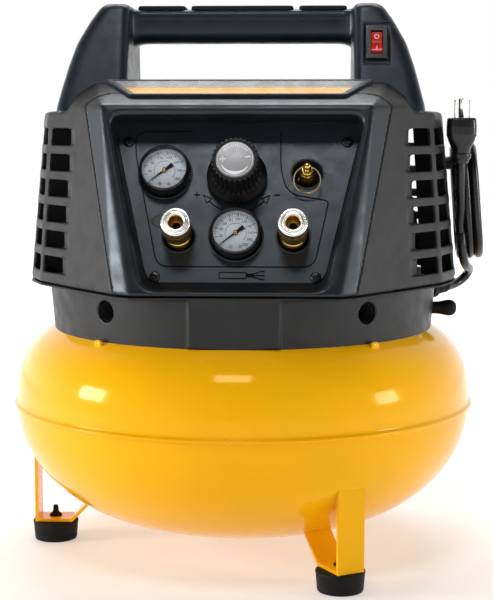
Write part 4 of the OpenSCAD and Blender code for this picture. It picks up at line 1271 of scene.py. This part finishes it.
def make_label():
    place = Matrix.Translation((0, LABEL_Y[0], BROW_Z)) @ Matrix.Rotation(LABEL_SLOPE, 4, "X")
    outline = fillet([(-90, 16, 0), (90, 16, 0), (114, 51, 0), (-114, 51, 0)], 3, 4)
    inner = fillet([(-86.5, 18.4, 0), (86.5, 18.4, 0), (107.5, 48.6, 0), (-107.5, 48.6, 0)], 1.5, 3)
    bm = bmesh.new()

    def scaled(points, inset):
        mid = Vector((0, 33.5, 0))
        return [mid + Vector(((p - mid).x * (1 - inset / 100), (p - mid).y * (1 - inset / 17), 0))
                for p in points]

    levels = ((-2.5, 0), (2.2, 0), (2.8, 0.3), (3.0, 0.8))
    loft(bm, [[place @ (p + Vector((0, 0, z))) for p in scaled(outline, inset)] for z, inset in levels])
    plate = from_bmesh("label_bezel", bm, "handle", body=None, smooth=False)
    cut = bmesh.new()
    loft(cut, [[place @ (p + Vector((0, 0, z))) for p in inner] for z in (2.0, 6)])
    boolean(plate, cut)
    crisp(plate, 0.3)
    settle(plate, "label_plate")

    def edge(y):
        return 86.2 + (107.2 - 86.2) * (y - 18.4) / (48.6 - 18.4)

    bands = (("label_band_low", "label_yellow", 18.6, 33.0), ("label_band_high", "label_grey", 33.2, 48.4))
    for name, mat, y0, y1 in bands:
        ring = [(-edge(y0), y0), (edge(y0), y0), (edge(y1), y1), (-edge(y1), y1)]
        band = bmesh.new()
        loft(band, [[place @ Vector((x, y, z)) for x, y in ring] for z in (2.0, 2.5)])
        crisp(from_bmesh(name, band, mat, smooth=False, node="label_decal"), 0.1)


# ---------------------------------------------------------------- switch
def make_switch():
    bm = bmesh.new()

    def frame_ring(hx, hy, r, t):
        return [post_matrix(t) @ p for p in rounded_rect((-hx, -hy), (hx, hy), r)]

    loft(bm, [frame_ring(7.4, 13.4, 1, -16), frame_ring(7.4, 13.4, 1, -1.3),
              frame_ring(9.4, 15.4, 1.4, -1.3), frame_ring(9.5, 15.5, 1.6, 0.8),
              frame_ring(9.0, 15.0, 1.6, 1.6), frame_ring(8.6, 14.6, 1.4, 1.65)])
    bezel = from_bmesh("switch_bezel", bm, "gauge", body=None, smooth=False)
    cut = bmesh.new()
    box_mesh(cut, (-5.15, -10.8, -12), (5.15, 10.8, 6), post_matrix())
    boolean(bezel, cut)
    crisp(bezel, 0.3)
    settle(bezel, "switch_body")
    # raised rim around the switch recess
    rim = bmesh.new()
    plane = post_matrix()
    rings = []
    for p in rounded_rect((-12.2, -20.2), (12.2, 20.2), 2):
        inward = Vector((-p.x, -p.y, 0)).normalized() * 0.9
        low, high = Vector((0, 0, -0.4)), Vector((0, 0, 0.25))
        rings.append([plane @ (p + low), plane @ (p + high), plane @ (p + inward + high),
                      plane @ (p + inward + low)])
    loft(rim, rings + [rings[0]], close_ends=False)
    bmesh.ops.remove_doubles(rim, verts=rim.verts, dist=0.001)
    from_bmesh("switch_rim", rim, "handle", smooth=False)
    # rocker: a drum with a shallow V face
    flat = post_matrix(-2.4) @ Matrix.Rotation(math.radians(-8), 4, "X")
    tilt = flat @ Matrix.Rotation(math.pi / 2, 4, "Y")
    # in this plane -X points out of the face and Y runs along the rocker
    face = [(-4.3, -9.25), (-3.3, -7), (-2.0, -2), (-1.7, 0), (-2.0, 2), (-3.3, 7), (-4.3, 9.25)]
    back = [(2.0, 9.9), (7.6, 6.2), (7.6, -6.2), (2.0, -9.9)]
    bm = bmesh.new()
    loft(bm, [[tilt @ Vector((x, y, z)) for x, y in face + back] for z in (-4.75, 4.75)])
    rocker = from_bmesh("rocker_cap", bm, "red", body="rocker", smooth=False)
    crisp(rocker, 0.45, 3, 20)
    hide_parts("switch_rocker")
    marks = bmesh.new()
    lower = flat @ Matrix.Translation((0, -5.6, 2.95)) @ Matrix.Rotation(math.radians(-13.5), 4, "X")
    upper = flat @ Matrix.Translation((0, 5.6, 2.95)) @ Matrix.Rotation(math.radians(13.5), 4, "X")
    arc_mark(marks, 1.5, 2.1, 0, 359.9, 0.08, upper, 32)
    bar_mark(marks, (0, -2), (0, 2), 0.65, 0.08, lower)
    from_bmesh("rocker_marks", marks, "white_ink", body="rocker", smooth=False,
               node="switch_rocker")


# ---------------------------------------------------------------- parts that keep their CAD shape
CARRIED = {
    "tank": ["tank_bungs", "leg_front_right", "leg_left", "leg_rear_right"],
    "brass": ["drain_valve_body", "drain_valve_wing", "air_manifold", "check_valve"],
    "knob": ["regulator_body"],
    "screw": ["cover_screws"],
    "steel": ["motor_housing", "motor_rotor", "handle_straps", "piston_rod"],
    "deck": ["pump_deck"],
    "alloy": ["crankcase", "pump_cylinder"],
    "iron": ["crankshaft_flywheel"],
    "rubber": ["drive_belt"],
    "copper": ["delivery_tube"],
    "gauge": ["pressure_switch", "intake_filter"],
}


def carry_nodes():
    for mat, nodes in CARRIED.items():
        for node in nodes:
            carry(node, mat, 0.6 if mat == "tank" else 0.35)


# ---------------------------------------------------------------- floor and light
# strengths of the surroundings, and the floor's painted glow, weaker near the object as a painted pool of
# shade, with the distances in metres where it fades in
WORLD_FRONT = 0.22
WORLD_SIDES = 0.9
WORLD_LEFT = 0.25
WORLD_ABOVE = 0.04
WORLD_BEHIND = 0.9
FLOOR_PAINTED_GLOW = (0.40, 0.90)
FLOOR_SHADE_FADE = (0.25, 1.4)


def make_stage():
    bm = bmesh.new()
    bmesh.ops.create_grid(bm, x_segments=2, y_segments=2, size=6000)
    floor = from_bmesh("floor", bm, "floor", body=None, smooth=False)


def floor_material():
    """A pale sweep with a painted glow, weaker near the object as a painted pool of shade around it."""
    mat, tree, shader = new_material("pale_floor_painted_glow")
    mottling = noise_node(tree, 40)
    tree.links.new(ramp(tree, mottling.outputs["Fac"], (0.61, 0.61, 0.61), (0.63, 0.63, 0.63)),
                   shader.inputs["Base Color"])
    shader.inputs["Roughness"].default_value = 0.7
    shader.inputs["Specular IOR Level"].default_value = 0.2
    shader.inputs["Emission Color"].default_value = (1, 1, 1, 1)
    coord = tree.nodes.new("ShaderNodeTexCoord")
    length = tree.nodes.new("ShaderNodeVectorMath")
    length.operation = "LENGTH"
    tree.links.new(coord.outputs["Object"], length.inputs[0])
    fade = tree.nodes.new("ShaderNodeMapRange")
    fade.interpolation_type = "SMOOTHSTEP"
    for socket, value in zip(("From Min", "From Max", "To Min", "To Max"), FLOOR_SHADE_FADE + FLOOR_PAINTED_GLOW):
        fade.inputs[socket].default_value = value
    tree.links.new(length.outputs["Value"], fade.inputs["Value"])
    # painted glow: the floor shines, dimmer close to the object as painted shade
    tree.links.new(fade.outputs["Result"], shader.inputs["Emission Strength"])
    return mat


def area_light(name, location, target, size, power, size_y=None):
    data = bpy.data.lights.new(name, "AREA")
    data.shape = "RECTANGLE"
    data.size = size
    data.size_y = size_y or size
    data.energy = power
    light = bpy.data.objects.new(name, data)
    light.location = location
    aim = Vector(target) - Vector(location)
    light.rotation_euler = aim.to_track_quat("-Z", "Y").to_euler()
    bpy.context.scene.collection.objects.link(light)


def studio_world():
    """White to the camera; as a light, bright at the sides and behind, and dim in front and above."""
    world = bpy.data.worlds.new("studio")
    world.use_nodes = True
    tree = world.node_tree
    background = next(n for n in tree.nodes if n.type == "BACKGROUND")

    def math_node(operation, a, b):
        node = tree.nodes.new("ShaderNodeMath")
        node.operation = operation
        for socket, value in zip(node.inputs, (a, b)):
            if isinstance(value, (int, float)):
                socket.default_value = value
            elif value is not None:
                tree.links.new(value, socket)
        return node.outputs[0]

    coord = tree.nodes.new("ShaderNodeTexCoord")
    axes = tree.nodes.new("ShaderNodeSeparateXYZ")
    tree.links.new(coord.outputs["Generated"], axes.inputs[0])
    x, y, z = axes.outputs
    sides = math_node("MULTIPLY", math_node("ABSOLUTE", x, None), WORLD_SIDES)
    left = math_node("MULTIPLY", x, -WORLD_LEFT)
    low = math_node("SUBTRACT", 1.0, math_node("MAXIMUM", z, 0))
    around = math_node("ADD", math_node("ADD", sides, left), WORLD_FRONT)
    around = math_node("MULTIPLY", around, math_node("MULTIPLY", low, low))
    behind = math_node("MULTIPLY", math_node("MAXIMUM", y, 0), WORLD_BEHIND)
    glow = math_node("ADD", math_node("ADD", around, behind), WORLD_ABOVE)
    path = tree.nodes.new("ShaderNodeLightPath")
    mix = tree.nodes.new("ShaderNodeMix")
    tree.links.new(path.outputs["Is Camera Ray"], mix.inputs["Factor"])
    tree.links.new(glow, mix.inputs["A"])
    mix.inputs["B"].default_value = 1.0
    tree.links.new(mix.outputs["Result"], background.inputs["Strength"])
    background.inputs["Color"].default_value = (1, 1, 1, 1)
    bpy.context.scene.world = world


def make_lights():
    area_light("overhead", (0, 0.8, 1.9), (0, 0, 0.3), 1.5, 24, 0.7)
    area_light("left_box", (-1.8, -0.5, 0.55), (0, 0, 0.2), 0.5, 18, 0.42)
    area_light("right_box", (1.8, -0.5, 0.5), (0, 0, 0.2), 0.42, 8, 0.4)
    area_light("front_card", (-0.1, -1.25, 2.1), (0, -0.15, 0.34), 0.55, 10.5, 0.5)
    studio_world()
    view = bpy.context.scene.view_settings
    view.view_transform = "Standard"
    view.look = "None"
    view.exposure = 0


MATS["floor"] = floor_material()

make_tank()
make_tabs()
make_feet()
make_covers()
make_baffle()
make_skirt()
make_rear_ledge()
make_screw_cups()
make_handle()
make_grip_pads()
for gauge_name, (gauge_x, gauge_s, gauge_top, gauge_step) in GAUGES.items():
    make_gauge(gauge_name, gauge_x, gauge_s, gauge_top, gauge_step)
make_knob()
make_couplers()
make_relief_valve()
make_console()
make_screws()
make_label()
make_switch()
carry_nodes()
make_stage()
make_lights()
